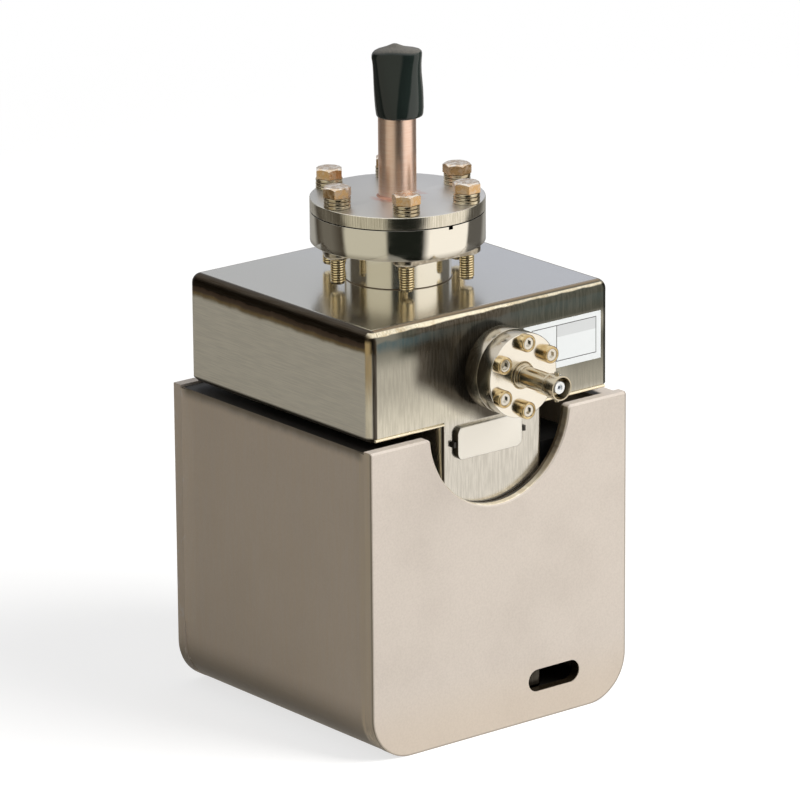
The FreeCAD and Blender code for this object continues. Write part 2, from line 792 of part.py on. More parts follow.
def build_connector():
    """The coaxial socket: shell with two bayonet lugs, insulator and centre contact."""
    shell = new_body("hv_connector_shell")
    mouth_radius = barrel_radius + mouth_step
    mouth_start = connector_tip - mouth_length
    barrel_bore = barrel_radius - barrel_wall
    turn(shell, [
        (barrel_bore, hv_front), (barrel_radius, hv_front), (barrel_radius, mouth_start - mouth_step),
        (mouth_radius, mouth_start), (mouth_radius, connector_tip),
        (mouth_radius - mouth_wall, connector_tip), (mouth_radius - mouth_wall, mouth_start),
        (barrel_bore, mouth_start)])
    for side in (1, -1):
        lug = sketch(shell, XZ, (mouth_radius - mouth_wall / 2) * side)
        circle(lug, lug_radius, 0, connector_tip - lug_from_tip)
        pad(shell, lug, lug_height + mouth_wall / 2, back=side < 0)

    insulator = new_body("hv_insulator")
    collar_top = hv_front - collar_depth
    collar_foot = collar_top - insulator_collar
    tail_end = hv_front - hv_thickness - insulator_tail_length
    insulator_end = connector_tip - insulator_recess
    turn(insulator, [
        (contact_radius, tail_end), (insulator_tail, tail_end), (insulator_tail, collar_foot),
        (insulator_seat, collar_foot), (insulator_seat, collar_top), (insulator_radius, collar_top),
        (insulator_radius, insulator_end), (contact_radius, insulator_end)])

    contact = new_body("hv_centre_contact")
    contact_end = insulator_end - contact_recess
    bore_end = contact_end - contact_bore_depth
    turn(contact, [
        (0, tail_end - contact_tail), (contact_radius, tail_end - contact_tail),
        (contact_radius, contact_end), (contact_bore, contact_end), (contact_bore, bore_end),
        (0, bore_end)])
    for body in (shell, insulator, contact):
        stand_on_front(body)
    return contact_tail - front_wall - tail_end


# Pump element

bracket_face = inner_half_depth - element_end_gap - bracket_thickness
band_half_depth = bracket_face - standoff_length
cell_pitch = (band_half_depth - band_thickness) * 2 / CELL_COLUMNS
row_pitch = cell_pitch * math.sin(math.radians(60))
cell_corner = cell_pitch / 2 / math.cos(math.radians(30))
element_base = pocket_floor + element_foot
element_room = chamber_base - element_headroom - element_base - band_thickness * 2
CELL_ROWS = 1 + int((element_room.number - cell_corner.number * 2) / row_pitch.number)
element_top = element_base + band_thickness * 2 + cell_corner * 2 + row_pitch * (CELL_ROWS - 1)
cathode_outer = pocket_half - pocket_wall - cathode_wall_gap
cathode_inner = cathode_outer - cathode_thickness
cell_length = (cathode_inner - discharge_gap) * 2


def cell_row(body, first_height, count, rows):
    """A row of open hexagonal cells, repeated upwards at every second row."""
    pattern = sketch(body, YZ)
    outer = cell_pitch - cell_clearance * 2
    for column in range(count):
        across = cell_pitch * (column - (count - 1) / 2)
        for flats in (outer, outer - cell_wall * 2):
            many_sided(pattern, 6, flats, across, first_height, first_corner=30)
    row = pad(body, pattern, cell_length, middle=True)
    stack = body.newObject("PartDesign::LinearPattern", "Rows")
    stack.Originals = [row]
    stack.Direction = (origin_part(body, "Z_Axis"), [""])
    stack.Occurrences = rows
    bind(stack, "Length", row_pitch * 2 * (rows - 1))
    body.Tip = stack


def build_anode():
    """A honeycomb of cells, their axes along the magnets' field, in a welded band."""
    cells = new_body("anode_cells")
    low_row = element_base + band_thickness + cell_corner
    cell_row(cells, low_row, CELL_COLUMNS, (CELL_ROWS + 1) // 2)
    cell_row(cells, low_row + row_pitch, CELL_COLUMNS - 1, CELL_ROWS // 2)

    band = new_body("anode_band")
    hoop = sketch(band, YZ)
    rectangle(hoop, -band_half_depth, band_half_depth, element_base, element_top)
    inside = band_half_depth - band_thickness
    rectangle(hoop, -inside, inside, element_base + band_thickness, element_top - band_thickness)
    pad(band, hoop, band_width, middle=True)


def build_cathode(label, side):
    """A titanium plate that faces the open ends of the cells."""
    body = new_body(label)
    middle = (cathode_inner + cathode_outer) / 2
    plate = sketch(body, YZ, middle * side)
    rectangle(plate, -bracket_face, bracket_face, element_base, element_top)
    pad(body, plate, cathode_thickness, middle=True)


def build_bracket(label, side):
    """A folded sheet between the cathodes, which stands on the pocket's floor."""
    body = new_body(label)
    back = (bracket_face + bracket_thickness) * side
    face = bracket_face * side
    lip_end = (bracket_face - bracket_lip) * side
    lip = cathode_inner - bracket_thickness
    section = sketch(body, XY, pocket_floor)
    polygon(section, [
        (-cathode_inner, back), (cathode_inner, back), (cathode_inner, lip_end), (lip, lip_end),
        (lip, face), (-lip, face), (-lip, lip_end), (-cathode_inner, lip_end)])
    pad(body, section, element_top - pocket_floor)


def mirrored(body, features):
    """Repeat features at the far end of the pump element."""
    copy = body.newObject("PartDesign::Mirrored", "Mirrored")
    copy.Originals = features
    copy.MirrorPlane = (origin_part(body, XZ), [""])
    body.Tip = copy


def build_standoffs():
    """Ceramic rods that hold the anode off its brackets, each under a sputter shield."""
    centre = (element_base + element_top) / 2
    heights = (centre - standoff_spread, centre + standoff_spread)
    rods = new_body("ceramic_standoffs")
    ends = sketch(rods, XZ, band_half_depth)
    for height in heights:
        many_sided(ends, SMALL_RING_SIDES, standoff_radius * 2, 0, height)
    mirrored(rods, [pad(rods, ends, standoff_length)])

    shields = new_body("sputter_shields")
    seats = sketch(shields, XZ, band_half_depth)
    skirts = sketch(shields, XZ, band_half_depth)
    for height in heights:
        for drawing, across in ((seats, (standoff_radius + cell_clearance) * 2),
                                (skirts, (shield_radius - shield_wall) * 2)):
            many_sided(drawing, SMALL_RING_SIDES, shield_radius * 2, 0, height)
            many_sided(drawing, SMALL_RING_SIDES, across, 0, height)
    mirrored(shields, [pad(shields, seats, shield_wall), pad(shields, skirts, shield_depth)])


def build_lead(start):
    """The strip from the feedthrough's contact, bent down to the top of the anode's band."""
    body = new_body("hv_lead")
    drop = lead_reach - front_wall
    route = sketch(body, YZ)
    bend_start = drop - lead_bend
    level = route.addGeometry(Part.LineSegment(spot(start, hv_height), spot(bend_start, hv_height)), False)
    centre = spot(bend_start, hv_height - lead_bend)
    quarter = Part.Circle(centre, Vector(0, 0, 1), lead_bend.number)
    bend = route.addGeometry(Part.ArcOfCircle(quarter, 0, math.pi / 2), False)
    down = route.addGeometry(
        Part.LineSegment(spot(drop, hv_height - lead_bend), spot(drop, element_top)), False)
    route.addConstraint(Sketcher.Constraint("Tangent", level, 2, bend, 2))
    route.addConstraint(Sketcher.Constraint("Tangent", bend, 1, down, 1))
    hold(route, level, 1, start, hv_height)
    hold(route, bend, 3, bend_start, hv_height - lead_bend)
    hold(route, down, 2, drop, element_top)
    section = sketch(body, XZ, -start)
    half = lead_thickness / 2
    rectangle(section, -lead_width / 2, lead_width / 2, hv_height - half, hv_height + half)
    strip = body.newObject("PartDesign::AdditivePipe", "Strip")
    strip.Profile = (section, [""])
    strip.Spine = (route, ["Edge1", "Edge2", "Edge3"])


# Bare plates on the front

def front_plate(label, left, right, low, high, thickness):
    """A rectangular plate on the vessel's front wall."""
    body = new_body(label)
    outline = sketch(body, XZ, front_wall)
    rectangle(outline, left, right, low, high)
    pad(body, outline, thickness)
    return body


def build_plates():
    top = chamber_base - name_plate_drop
    low = top - name_plate_height
    left = -name_plate_width / 2 - name_plate_offset
    right = name_plate_width / 2 - name_plate_offset
    plate = front_plate("name_plate", left, right, low, top, name_plate_thickness)
    fillet(plate, name_plate_corner, lambda edge: runs_along(edge, "y"))

    tabs = new_body("name_plate_tabs")
    ends = sketch(tabs, XZ, front_wall)
    tab_low = (low + top - tab_height) / 2
    for near in (left - tab_gap - tab_thickness, right + tab_gap):
        rectangle(ends, near, near + tab_thickness, tab_low, tab_low + tab_height)
    pad(tabs, ends, tab_reach)

    label_right = chamber_width / 2 - label_from_edge
    label_low = chamber_base + label_rise
    front_plate("chamber_label", label_right - label_width, label_right, label_low,
                label_low + label_height, label_thickness)


def check_model():
    """Stop if any feature failed, cut nothing, or left a sub-part without a sound solid."""
    doc.recompute()
    for item in doc.Objects:
        if "Invalid" in item.State or "Error" in item.State:
            raise RuntimeError(f"{item.Name} ({item.Label}) did not build")
        if item.TypeId == "PartDesign::Pocket":
            if item.Shape.Volume > item.BaseFeature.Shape.Volume - TOUCH:
                raise RuntimeError(f"{item.Name} cuts nothing")
    for item in sub_parts:
        if item.Shape.isNull() or not item.Shape.isValid() or not item.Shape.Solids:
            raise RuntimeError(f"{item.Label} has no valid solid")


def write_steps():
    os.makedirs("parts", exist_ok=True)
    for item in sub_parts:
        item.Shape.exportStep(f"parts/{item.Label}.step")


build_yoke()
build_front_panel()
panel_blank("rear_panel", -panel_inner_face, back=True)
build_magnet("magnet_left", -1)
build_magnet("magnet_right", 1)

build_chamber_shell()
build_chamber_floor()
build_pump_pocket()
build_tube("neck_tube", neck_radius, neck_wall, chamber_top - chamber_wall, port_back)
fixed_flange = knife_flange("port_flange", port, port_back, port_thickness, 1, port.bore_radius,
                            port_hole_diameter)
leak_grooves(fixed_flange, port, port_face)
build_gasket("port_gasket", port, port_face)
blank_flange = knife_flange("pinch_off_flange", port, blank_top, blank_thickness, -1, tube_radius,
                            port_hole_diameter)
turn_about_port(fixed_flange)
turn_about_port(blank_flange)
build_pinch_off_tube()
build_pinch_off_cap()
build_port_bolts()
build_spring_washers()
build_plate_nuts()

build_feedthrough_flanges()
build_feedthrough_screws()
lead_start = build_connector()
build_lead(lead_start)

build_anode()
build_cathode("cathode_left", -1)
build_cathode("cathode_right", 1)
build_bracket("element_bracket_front", -1)
build_bracket("element_bracket_rear", 1)
build_standoffs()
build_plates()

check_model()
write_steps()
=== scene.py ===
import math
import bmesh
import bpy
from mathutils import Matrix, Vector


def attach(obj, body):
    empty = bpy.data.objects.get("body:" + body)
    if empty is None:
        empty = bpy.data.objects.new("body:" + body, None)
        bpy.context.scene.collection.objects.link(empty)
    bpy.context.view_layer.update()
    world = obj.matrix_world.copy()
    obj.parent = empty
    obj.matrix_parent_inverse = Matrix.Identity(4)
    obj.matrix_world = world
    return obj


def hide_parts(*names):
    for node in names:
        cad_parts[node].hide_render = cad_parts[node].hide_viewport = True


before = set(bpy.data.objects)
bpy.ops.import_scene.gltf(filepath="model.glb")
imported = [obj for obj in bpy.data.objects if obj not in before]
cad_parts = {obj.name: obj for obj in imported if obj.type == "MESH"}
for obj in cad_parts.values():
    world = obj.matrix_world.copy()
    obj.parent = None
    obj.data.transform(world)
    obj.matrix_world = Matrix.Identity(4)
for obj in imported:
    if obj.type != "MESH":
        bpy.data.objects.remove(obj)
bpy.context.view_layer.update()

# Camera: to the left of the feedthrough and a little above, far off with a long lens.
# The picture is a crop, so the lens is shifted.
CAMERA_TARGET = Vector((0.0, -0.00785, 0.100))
CAMERA_DISTANCE = 2.4226
CAMERA_YAW = math.radians(38.909)
CAMERA_PITCH = math.radians(17.456)
CAMERA_ROLL = math.radians(-0.398)

lens = bpy.data.cameras.new("camera")
lens.sensor_width = 36.0
lens.lens = 274.67
lens.shift_x = -0.0149
lens.shift_y = 0.0699
ahead = Vector((math.sin(CAMERA_YAW) * math.cos(CAMERA_PITCH),
                math.cos(CAMERA_YAW) * math.cos(CAMERA_PITCH), -math.sin(CAMERA_PITCH)))
level = Vector((math.cos(CAMERA_YAW), -math.sin(CAMERA_YAW), 0))
upright = level.cross(ahead)
rightward = math.cos(CAMERA_ROLL) * level + math.sin(CAMERA_ROLL) * upright
upward = math.cos(CAMERA_ROLL) * upright - math.sin(CAMERA_ROLL) * level
camera = bpy.data.objects.new("camera", lens)
camera.matrix_world = Matrix.Translation(CAMERA_TARGET - ahead * CAMERA_DISTANCE) @ Matrix(
    (rightward, upward, -ahead)).transposed().to_4x4()
bpy.context.collection.objects.link(camera)
bpy.context.scene.camera = camera
bpy.context.scene.view_settings.view_transform = "Standard"


# Studio: a white sweep lit by one large soft lamp at the front right and an even sky.
# Cards round the object, which only reflections see, give the polished steel its bands.
class Wire:
    """One output of a node tree. Arithmetic on it adds Math nodes."""

    def __init__(self, socket):
        self.socket = socket

    def __getitem__(self, name):
        return Wire(self.socket.node.outputs[name])

    def node(self, kind, settings=None, inputs=None):
        """Add a node: its settings first, then a value or a Wire for each of its inputs."""
        tree = self.socket.id_data
        node = tree.nodes.new(f"ShaderNode{kind}")
        for name, value in (settings or {}).items():
            if name == "stops":
                stops = node.color_ramp.elements
                for spare in value[2:]:
                    stops.new(1.0)
                for stop, (position, colour) in zip(stops, value):
                    stop.position = position
                    stop.color = colour
            else:
                setattr(node, name, value)
        for name, value in (inputs or {}).items():
            if isinstance(value, Wire):
                tree.links.new(value.socket, node.inputs[name])
            else:
                node.inputs[name].default_value = value
        return Wire(next(socket for socket in node.outputs if socket.enabled))

    def math(self, operation, *values):
        return self.node("Math", {"operation": operation}, dict(enumerate(values)))

    def __add__(self, other):
        return self.math("ADD", self, other)

    def __sub__(self, other):
        return self.math("SUBTRACT", self, other)

    def __rsub__(self, other):
        return self.math("SUBTRACT", other, self)

    def __mul__(self, other):
        return self.math("MULTIPLY", self, other)

    def __truediv__(self, other):
        return self.math("DIVIDE", self, other)

    def __neg__(self):
        return 0.0 - self

    def __abs__(self):
        return self.math("ABSOLUTE", self)

    __radd__ = __add__
    __rmul__ = __mul__

    def most(self, other):
        return self.math("MAXIMUM", self, other)

    def least(self, other):
        return self.math("MINIMUM", self, other)

    def across(self, other):
        """The length of the diagonal whose sides are this and the other."""
        return self.math("SQRT", self * self + other * other)

    def rises(self, low, high):
        """0 below the low value, 1 above the high one, and smooth in between."""
        return self.node("MapRange", {"interpolation_type": "SMOOTHSTEP"}, {0: self, 1: low, 2: high})

    def falls(self, low, high):
        """1 below the low value, 0 above the high one, and smooth in between."""
        return 1.0 - self.rises(low, high)

    def paints(self, under, over):
        """A colour that goes from under to over as this mask goes from 0 to 1."""
        return self.node("Mix", {"data_type": "RGBA"}, {0: self, 6: under, 7: over})

    def ramp(self, *stops):
        return self.node("ValToRGB", {"stops": stops}, {0: self})


def shade(red, green, blue):
    return (red, green, blue, 1.0)


def grey(level):
    return shade(level, level, level)


def connect(wire, node, name):
    wire.socket.id_data.links.new(wire.socket, node.inputs[name])


SKY_ON_OBJECT = 0.33
FLOOR_RADIUS = 1.2
FLOOR_FADE = (0.6, 1.15)
FLOOR_PAPER = grey(0.42)
FLOOR_GLOW = 0.70
CARD_RADIUS = 2.6
CARD_LOW = -2.6
CARD_HIGH = 2.2
STAGE_SIDES = 96
SOFTBOX_LEFT = shade(0.56, 0.53, 0.44)
SOFTBOX_RIGHT = shade(1.05, 1.0, 0.93)
BEHIND_CAMERA = shade(0.012, 0.014, 0.011)
LEFT_SHADE = shade(0.055, 0.045, 0.033)
LEFT_ROOM = shade(0.15, 0.137, 0.115)
BACKDROP = shade(0.36, 0.35, 0.33)
BACKDROP_HIGH = shade(0.475, 0.49, 0.525)
RIGHT_ROOM = shade(0.115, 0.108, 0.098)
KEY_COLOUR = (1.0, 0.985, 0.955)
KEY_POWER = 56.0
KEY_SIZE = 1.2
KEY_DISTANCE = 2.2
KEY_TARGET = Vector((0, 0, 0.1))
KEY_TURN = math.radians(-32)
KEY_RISE = math.radians(42)

world = bpy.data.worlds.new("studio")
world.use_nodes = True
bpy.context.scene.world = world
rays = Wire(world.node_tree.nodes.new("ShaderNodeLightPath").outputs["Is Camera Ray"])
seen = rays + rays["Is Glossy Ray"] + rays["Is Transmission Ray"]
connect(seen.rises(0.0, 1.0).paints(grey(SKY_ON_OBJECT), grey(1.0)),
        world.node_tree.nodes["Background"], "Color")

floor_shape = bmesh.new()
bmesh.ops.create_circle(floor_shape, cap_ends=True, segments=STAGE_SIDES, radius=FLOOR_RADIUS)
floor_mesh = bpy.data.meshes.new("floor")
floor_shape.to_mesh(floor_mesh)
floor = bpy.data.objects.new("floor", floor_mesh)
floor.visible_glossy = False
sweep = bpy.data.materials.new("sweep")
sweep.use_nodes = True
rays = Wire(sweep.node_tree.nodes.new("ShaderNodeLightPath").outputs["Is Camera Ray"])
spot = rays.node("TexCoord")["Object"]
paper = rays.node("BsdfDiffuse", {}, {"Color": FLOOR_PAPER})
glow = rays.node("Emission", {}, {"Color": grey(FLOOR_GLOW), "Strength": rays})
lit = rays.node("AddShader", {}, {0: paper, 1: glow})
edge = spot.node("VectorMath", {"operation": "LENGTH"}, {0: spot}).rises(*FLOOR_FADE)
connect(rays.node("MixShader", {}, {0: edge, 1: lit, 2: rays.node("BsdfTransparent")}),
        sweep.node_tree.nodes["Material Output"], "Surface")
floor_mesh.materials.append(sweep)

cards_shape = bmesh.new()
bmesh.ops.create_cone(cards_shape, segments=STAGE_SIDES, radius1=CARD_RADIUS, radius2=CARD_RADIUS,
                      depth=CARD_HIGH - CARD_LOW,
                      matrix=Matrix.Translation((0, 0, (CARD_HIGH + CARD_LOW) / 2)))
cards_mesh = bpy.data.meshes.new("studio_cards")
cards_shape.to_mesh(cards_mesh)
cards = bpy.data.objects.new("studio_cards", cards_mesh)
cards.visible_camera = False
cards.visible_diffuse = False
cards.visible_transmission = False
cards.visible_shadow = False
card_glow = bpy.data.materials.new("card_glow")
card_glow.use_nodes = True
spot = Wire(card_glow.node_tree.nodes.new("ShaderNodeTexCoord").outputs["Object"])
sides = spot.node("SeparateXYZ", {}, {0: spot})
turn = spot.math("ARCTAN2", -sides["X"], -sides["Y"]) / (2 * math.pi) + 0.5


def heading(degrees):
    """Where on the cards' ramp a direction lies, in degrees from the front towards the left."""
    return degrees / 360 + 0.5


ring = turn.ramp(
    (heading(-180), BACKDROP), (heading(-112), BACKDROP),
    (heading(-100), RIGHT_ROOM), (heading(-66), RIGHT_ROOM), (heading(-62), SOFTBOX_RIGHT),
    (heading(-3), SOFTBOX_RIGHT), (heading(7), BEHIND_CAMERA), (heading(51), BEHIND_CAMERA),
    (heading(55), SOFTBOX_LEFT), (heading(110), SOFTBOX_LEFT), (heading(116), LEFT_SHADE),
    (heading(136), LEFT_ROOM), (heading(152), LEFT_ROOM), (heading(168), LEFT_SHADE),
    (heading(180), BACKDROP))
high = sides["Z"].rises(-0.1, 0.5)
ring = (abs(turn - heading(25)).rises(125 / 360, 137 / 360) * high).paints(ring, BACKDROP_HIGH)
ring = (abs(turn - heading(137)).falls(23 / 360, 30 / 360) * high).paints(ring, LEFT_SHADE)
connect(spot.node("Emission", {}, {"Color": sides["Z"].rises(1.2, 2.1).paints(ring, grey(1.0))}),
        card_glow.node_tree.nodes["Material Output"], "Surface")
cards_mesh.materials.append(card_glow)

key_light = bpy.data.lights.new("key", "AREA")
key_light.energy = KEY_POWER
key_light.size = KEY_SIZE
key_light.color = KEY_COLOUR
key = bpy.data.objects.new("key", key_light)
towards_key = Vector((-math.sin(KEY_TURN) * math.cos(KEY_RISE),
                      -math.cos(KEY_TURN) * math.cos(KEY_RISE), math.sin(KEY_RISE)))
key.matrix_world = (Matrix.Translation(KEY_TARGET + KEY_DISTANCE * towards_key)
                    @ towards_key.to_track_quat("Z", "Y").to_matrix().to_4x4())
key.visible_glossy = False
for stage_object in (floor, cards, key):
    bpy.context.collection.objects.link(stage_object)


# Housing: thick mild-steel plate, bead blasted and plated a warm matt beige.
# The yoke is one plate bent to a U, and flat panels are welded to its front and rear.
# The front one has a half-round notch and a slot.
YOKE_INSIDE = 53.6
YOKE_FLOOR = 10.0
YOKE_END = 58.35
PANEL_FACE = 62.85
PANEL_CORNER = 18.8
PANEL_CORNER_X = 64.5 - PANEL_CORNER
NOTCH_RADIUS = 34.9
NOTCH_CENTRE = 128.8
SLOT_LEFT = 14.15
SLOT_HEIGHT = 16.2
SLOT_HALF_HEIGHT = 4.6
PLATE_ROUGHNESS = 0.52
PLATE_METALLIC = 0.25
HOUSING_PALE = shade(0.70, 0.63, 0.565)
HOUSING_DULL = shade(0.61, 0.545, 0.485)
HOUSING_SIDE_SHADE = shade(0.67, 0.535, 0.38)
HOUSING_FOOT = shade(0.12, 0.095, 0.062)
HOUSING_WELD = shade(0.70, 0.58, 0.42)
HOUSING_INSIDE_SHADE = shade(0.02, 0.017, 0.014)
LEDGE_SHADE = shade(0.010, 0.008, 0.006)
CUT_DULL = shade(0.74, 0.64, 0.46)
CUT_BRIGHT = shade(1.0, 0.93, 0.77)
CUT_EDGE_SHADE = shade(0.03, 0.022, 0.013)
CUT_WALL_SHADE = shade(0.17, 0.125, 0.075)
SLOT_SHADE = shade(0.045, 0.032, 0.018)


def new_material(name, base, roughness, metallic=0.0):
    made = bpy.data.materials.new(name)
    made.use_nodes = True
    surface = made.node_tree.nodes["Principled BSDF"]
    surface.inputs["Base Color"].default_value = base
    surface.inputs["Roughness"].default_value = roughness
    surface.inputs["Metallic"].default_value = metallic
    return made


def place_on(material):
    """The place on the object, in millimetres."""
    spot = Wire(material.node_tree.nodes.new("ShaderNodeTexCoord").outputs["Object"])
    return spot.node("VectorMath", {"operation": "SCALE"}, {0: spot, "Scale": 1000.0})


def split(spot):
    return spot.node("SeparateXYZ", {}, {0: spot})


def facing(spot):
    return split(spot.node("NewGeometry")["Normal"])


def feed(material, **wires):
    """Link wires to the surface's inputs, whose names are given with underscores."""
    for name, wire in wires.items():
        connect(wire, material.node_tree.nodes["Principled BSDF"], name.replace("_", " "))


def dress(material, *nodes):
    for node in nodes:
        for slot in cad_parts[node].material_slots:
            slot.material = material


def noise(spot, grain, stretch=(1, 1, 1), detail=2.0):
    """Noise with grains of about that many millimetres, drawn out along an axis by a small stretch."""
    drawn = spot.node("VectorMath", {"operation": "MULTIPLY"}, {0: spot, 1: stretch})
    return spot.node("TexNoise", {}, {"Vector": drawn, "Scale": 1 / grain, "Detail": detail})


def bump(height, depth):
    """A bump whose full height is that many millimetres."""
    return height.node("Bump", {}, {"Height": height, "Distance": depth / 1000})


blasted = new_material("blasted_plate", HOUSING_PALE, PLATE_ROUGHNESS, metallic=PLATE_METALLIC)
spot = place_on(blasted)
place = split(spot)
normal = facing(spot)
forward = -place["Y"]
on_side = abs(normal["X"]).rises(0.6, 0.9)
off_front = abs(normal["Y"]).falls(0.3, 0.6)
between_panels = abs(place["Y"]).falls(YOKE_END - 0.15, YOKE_END)
in_panel = forward.rises(YOKE_END - 0.35, YOKE_END - 0.05)

# The plating is cloudy and speckled, streaked on the sides, and darker towards the foot.
cloud = noise(spot, 28, detail=4.0).rises(0.40, 0.72)
speckle = noise(spot, 0.9, detail=3.0).rises(0.3, 0.75)
plate = (cloud * 0.45 + speckle * 0.55).paints(HOUSING_PALE, HOUSING_DULL)
grain = noise(spot, 0.8, (1, 1, 0.06), 3.0).rises(0.35, 0.7)
# Painted shade: the sides are a darker, warmer tone than the front.
plate = (on_side * (grain * 0.16 + 0.52)).paints(plate, HOUSING_SIDE_SHADE)
plate = (off_front * place["Z"].falls(4.0, 24.0) * 0.93).paints(plate, HOUSING_FOOT)
plate = (place["Z"].falls(4.0, 30.0) * (1.0 - on_side) * 0.28).paints(plate, HOUSING_SIDE_SHADE)
near_seam = forward.rises(53.6, 55.0) * on_side
streak = noise(spot, 1.3, (1, 1, 0.05), 4.0).rises(0.42, 0.66)
plate = (near_seam * (streak * 0.5 + 0.4)).paints(plate, HOUSING_WELD)
chips = noise(spot, 2.0, (1, 1, 0.4)).rises(0.60, 0.64) * place["Y"].rises(57.0, 57.6) * on_side
plate = (chips * 0.6).paints(plate, HOUSING_PALE)

# Painted shade: the floor between the magnets, and the sides' top under the vessel. The panels' rounded rims
# are painted darker along their outer edge.
inside = abs(place["X"]).falls(YOKE_INSIDE - 0.6, YOKE_INSIDE + 0.4) * place["Z"].falls(
    YOKE_FLOOR + 0.5, YOKE_FLOOR + 2.0)
inside = inside * place["Z"].rises(YOKE_FLOOR - 1.0, YOKE_FLOOR - 0.6) * between_panels
plate = inside.paints(plate, HOUSING_INSIDE_SHADE)
beyond_corner = (abs(place["X"]) - PANEL_CORNER_X).most(0.0)
below_corner = (PANEL_CORNER - place["Z"]).most(0.0)
rim_line = beyond_corner.across(below_corner).rises(PANEL_CORNER - 0.75, PANEL_CORNER - 0.25)
rim_line = rim_line * forward.rises(PANEL_FACE - 1.35, PANEL_FACE - 0.45)
plate = (rim_line * 0.55).paints(plate, HOUSING_FOOT)
# Painted shade under the vessel's overhang: the yoke's top ledge and the top of its sides.
ledge = normal["Z"].rises(0.7, 0.9) * between_panels * place["Z"].rises(120.0, 122.0)
plate = (ledge * place["X"].falls(56.5, 58.5)).paints(plate, LEDGE_SHADE)
top_shade_band = (place["Z"] + noise(spot, 5.0) * 1.5).rises(121.5, 126.6)
under_vessel = on_side * top_shade_band * abs(place["Y"]).falls(54.0, 59.0)
plate = (under_vessel * 0.8).paints(plate, HOUSING_FOOT)

# The notch and the slot are cut through the plating, so their walls are bare steel.
notch_wall = place["X"].across(place["Z"] - NOTCH_CENTRE).falls(
    NOTCH_RADIUS + 0.15, NOTCH_RADIUS + 0.35) * in_panel
slot_wall = forward.falls(PANEL_FACE - 0.55, PANEL_FACE - 0.25) * in_panel * abs(
    place["Z"] - SLOT_HEIGHT).falls(SLOT_HALF_HEIGHT + 0.15, SLOT_HALF_HEIGHT + 0.3)
slot_wall = slot_wall * place["X"].rises(SLOT_LEFT - 1.15, SLOT_LEFT - 0.65)
burr = noise(spot, 2.5, (1, 0.1, 1), 3.0).rises(0.35, 0.7)
plate = notch_wall.paints(plate, burr.paints(CUT_DULL, CUT_BRIGHT))
# Painted shade: the rear edge of the notch wall is black.
rear_edge_shade = notch_wall * (place["Y"] + burr * 0.2).rises(-59.9, -59.5)
plate = rear_edge_shade.paints(plate, CUT_EDGE_SHADE)
# Painted shade: the notch wall's right part is darker brown.
shaded_wall_part = notch_wall * place["X"].rises(12.0, 27.0) * (0.6 + burr * 0.3)
plate = shaded_wall_part.paints(plate, CUT_WALL_SHADE)
plate = slot_wall.paints(plate, SLOT_SHADE)
feed(blasted, Base_Color=plate,
     Metallic=notch_wall * 0.1 + slot_wall * 0.4 + PLATE_METALLIC,
     Roughness=PLATE_ROUGHNESS - notch_wall.most(slot_wall) * 0.27,
     Normal=bump(noise(spot, 0.45, detail=3.0) + noise(spot, 3.0) * 0.6, 0.05))
dress(blasted, "yoke", "front_panel", "rear_panel")

# Housing seams: the welds that join the panels to the yoke's sides, ground back to smooth
# fairings and blasted with the plate. Each runs out to nothing at its foot.
SEAM_PLAN = ((63.5, YOKE_END), (64.4, YOKE_END), (64.3, 57.6), (64.0, 55.8), (63.68, 52.5), (63.5, 50.0))
SEAM_FOOT = 28.0
SEAM_TAIL = 10.0
SEAM_TOP = 125.6
YOKE_SKIN = 63.4


def make(name, shape, material, body, replaces=(), crease=32):
    """Finish a shape drawn in millimetres as a piece that rides on a body."""
    shape.transform(Matrix.Scale(0.001, 4))
    mesh = bpy.data.meshes.new(name)
    shape.to_mesh(mesh)
    shape.free()
    mesh.shade_smooth()
    mesh.set_sharp_from_angle(angle=math.radians(crease))
    mesh.materials.append(material)
    made = bpy.data.objects.new(name, mesh)
    bpy.context.collection.objects.link(made)
    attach(made, body)
    if replaces:
        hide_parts(*replaces)


def prism(corners, low, high):
    """An upright prism on a plan of (x, y) corners."""
    shape = bmesh.new()
    base = shape.faces.new([shape.verts.new((x, y, low)) for x, y in corners])
    raised = bmesh.ops.extrude_face_region(shape, geom=[base])["geom"]
    top = [item for item in raised if isinstance(item, bmesh.types.BMVert)]
    bmesh.ops.translate(shape, verts=top, vec=(0, 0, high - low))
    bmesh.ops.recalc_face_normals(shape, faces=shape.faces[:])
    return shape


def joined(*shapes):
    whole = bmesh.new()
    for shape in shapes:
        mesh = bpy.data.meshes.new("part")
        shape.to_mesh(mesh)
        shape.free()
        whole.from_mesh(mesh)
        bpy.data.meshes.remove(mesh)
    return whole


for side, label in ((-1, "left"), (1, "right")):
    for end, face in ((-1, "front"), (1, "rear")):
        plan = [(x * side, y * end) for x, y in SEAM_PLAN]
        tail = prism(plan, SEAM_FOOT - SEAM_TAIL, SEAM_FOOT)
        for vert in tail.verts:
            if vert.co.z < SEAM_FOOT - SEAM_TAIL / 2:
                vert.co.x = YOKE_SKIN * side
        make(f"seam_{face}_{label}", joined(prism(plan, SEAM_FOOT, SEAM_TOP), tail), blasted, "housing")

# Magnets: two dark sintered ferrite blocks, glued to the inside of the yoke.
# They show only when the vessel is lifted out.
ferrite = new_material("ferrite", shade(0.035, 0.034, 0.036), 0.62)
spot = place_on(ferrite)
feed(ferrite, Base_Color=noise(spot, 4.0, detail=5.0).paints(grey(0.02), grey(0.05)),
     Normal=bump(noise(spot, 0.5, detail=4.0), 0.04))
dress(ferrite, "magnet_left", "magnet_right")

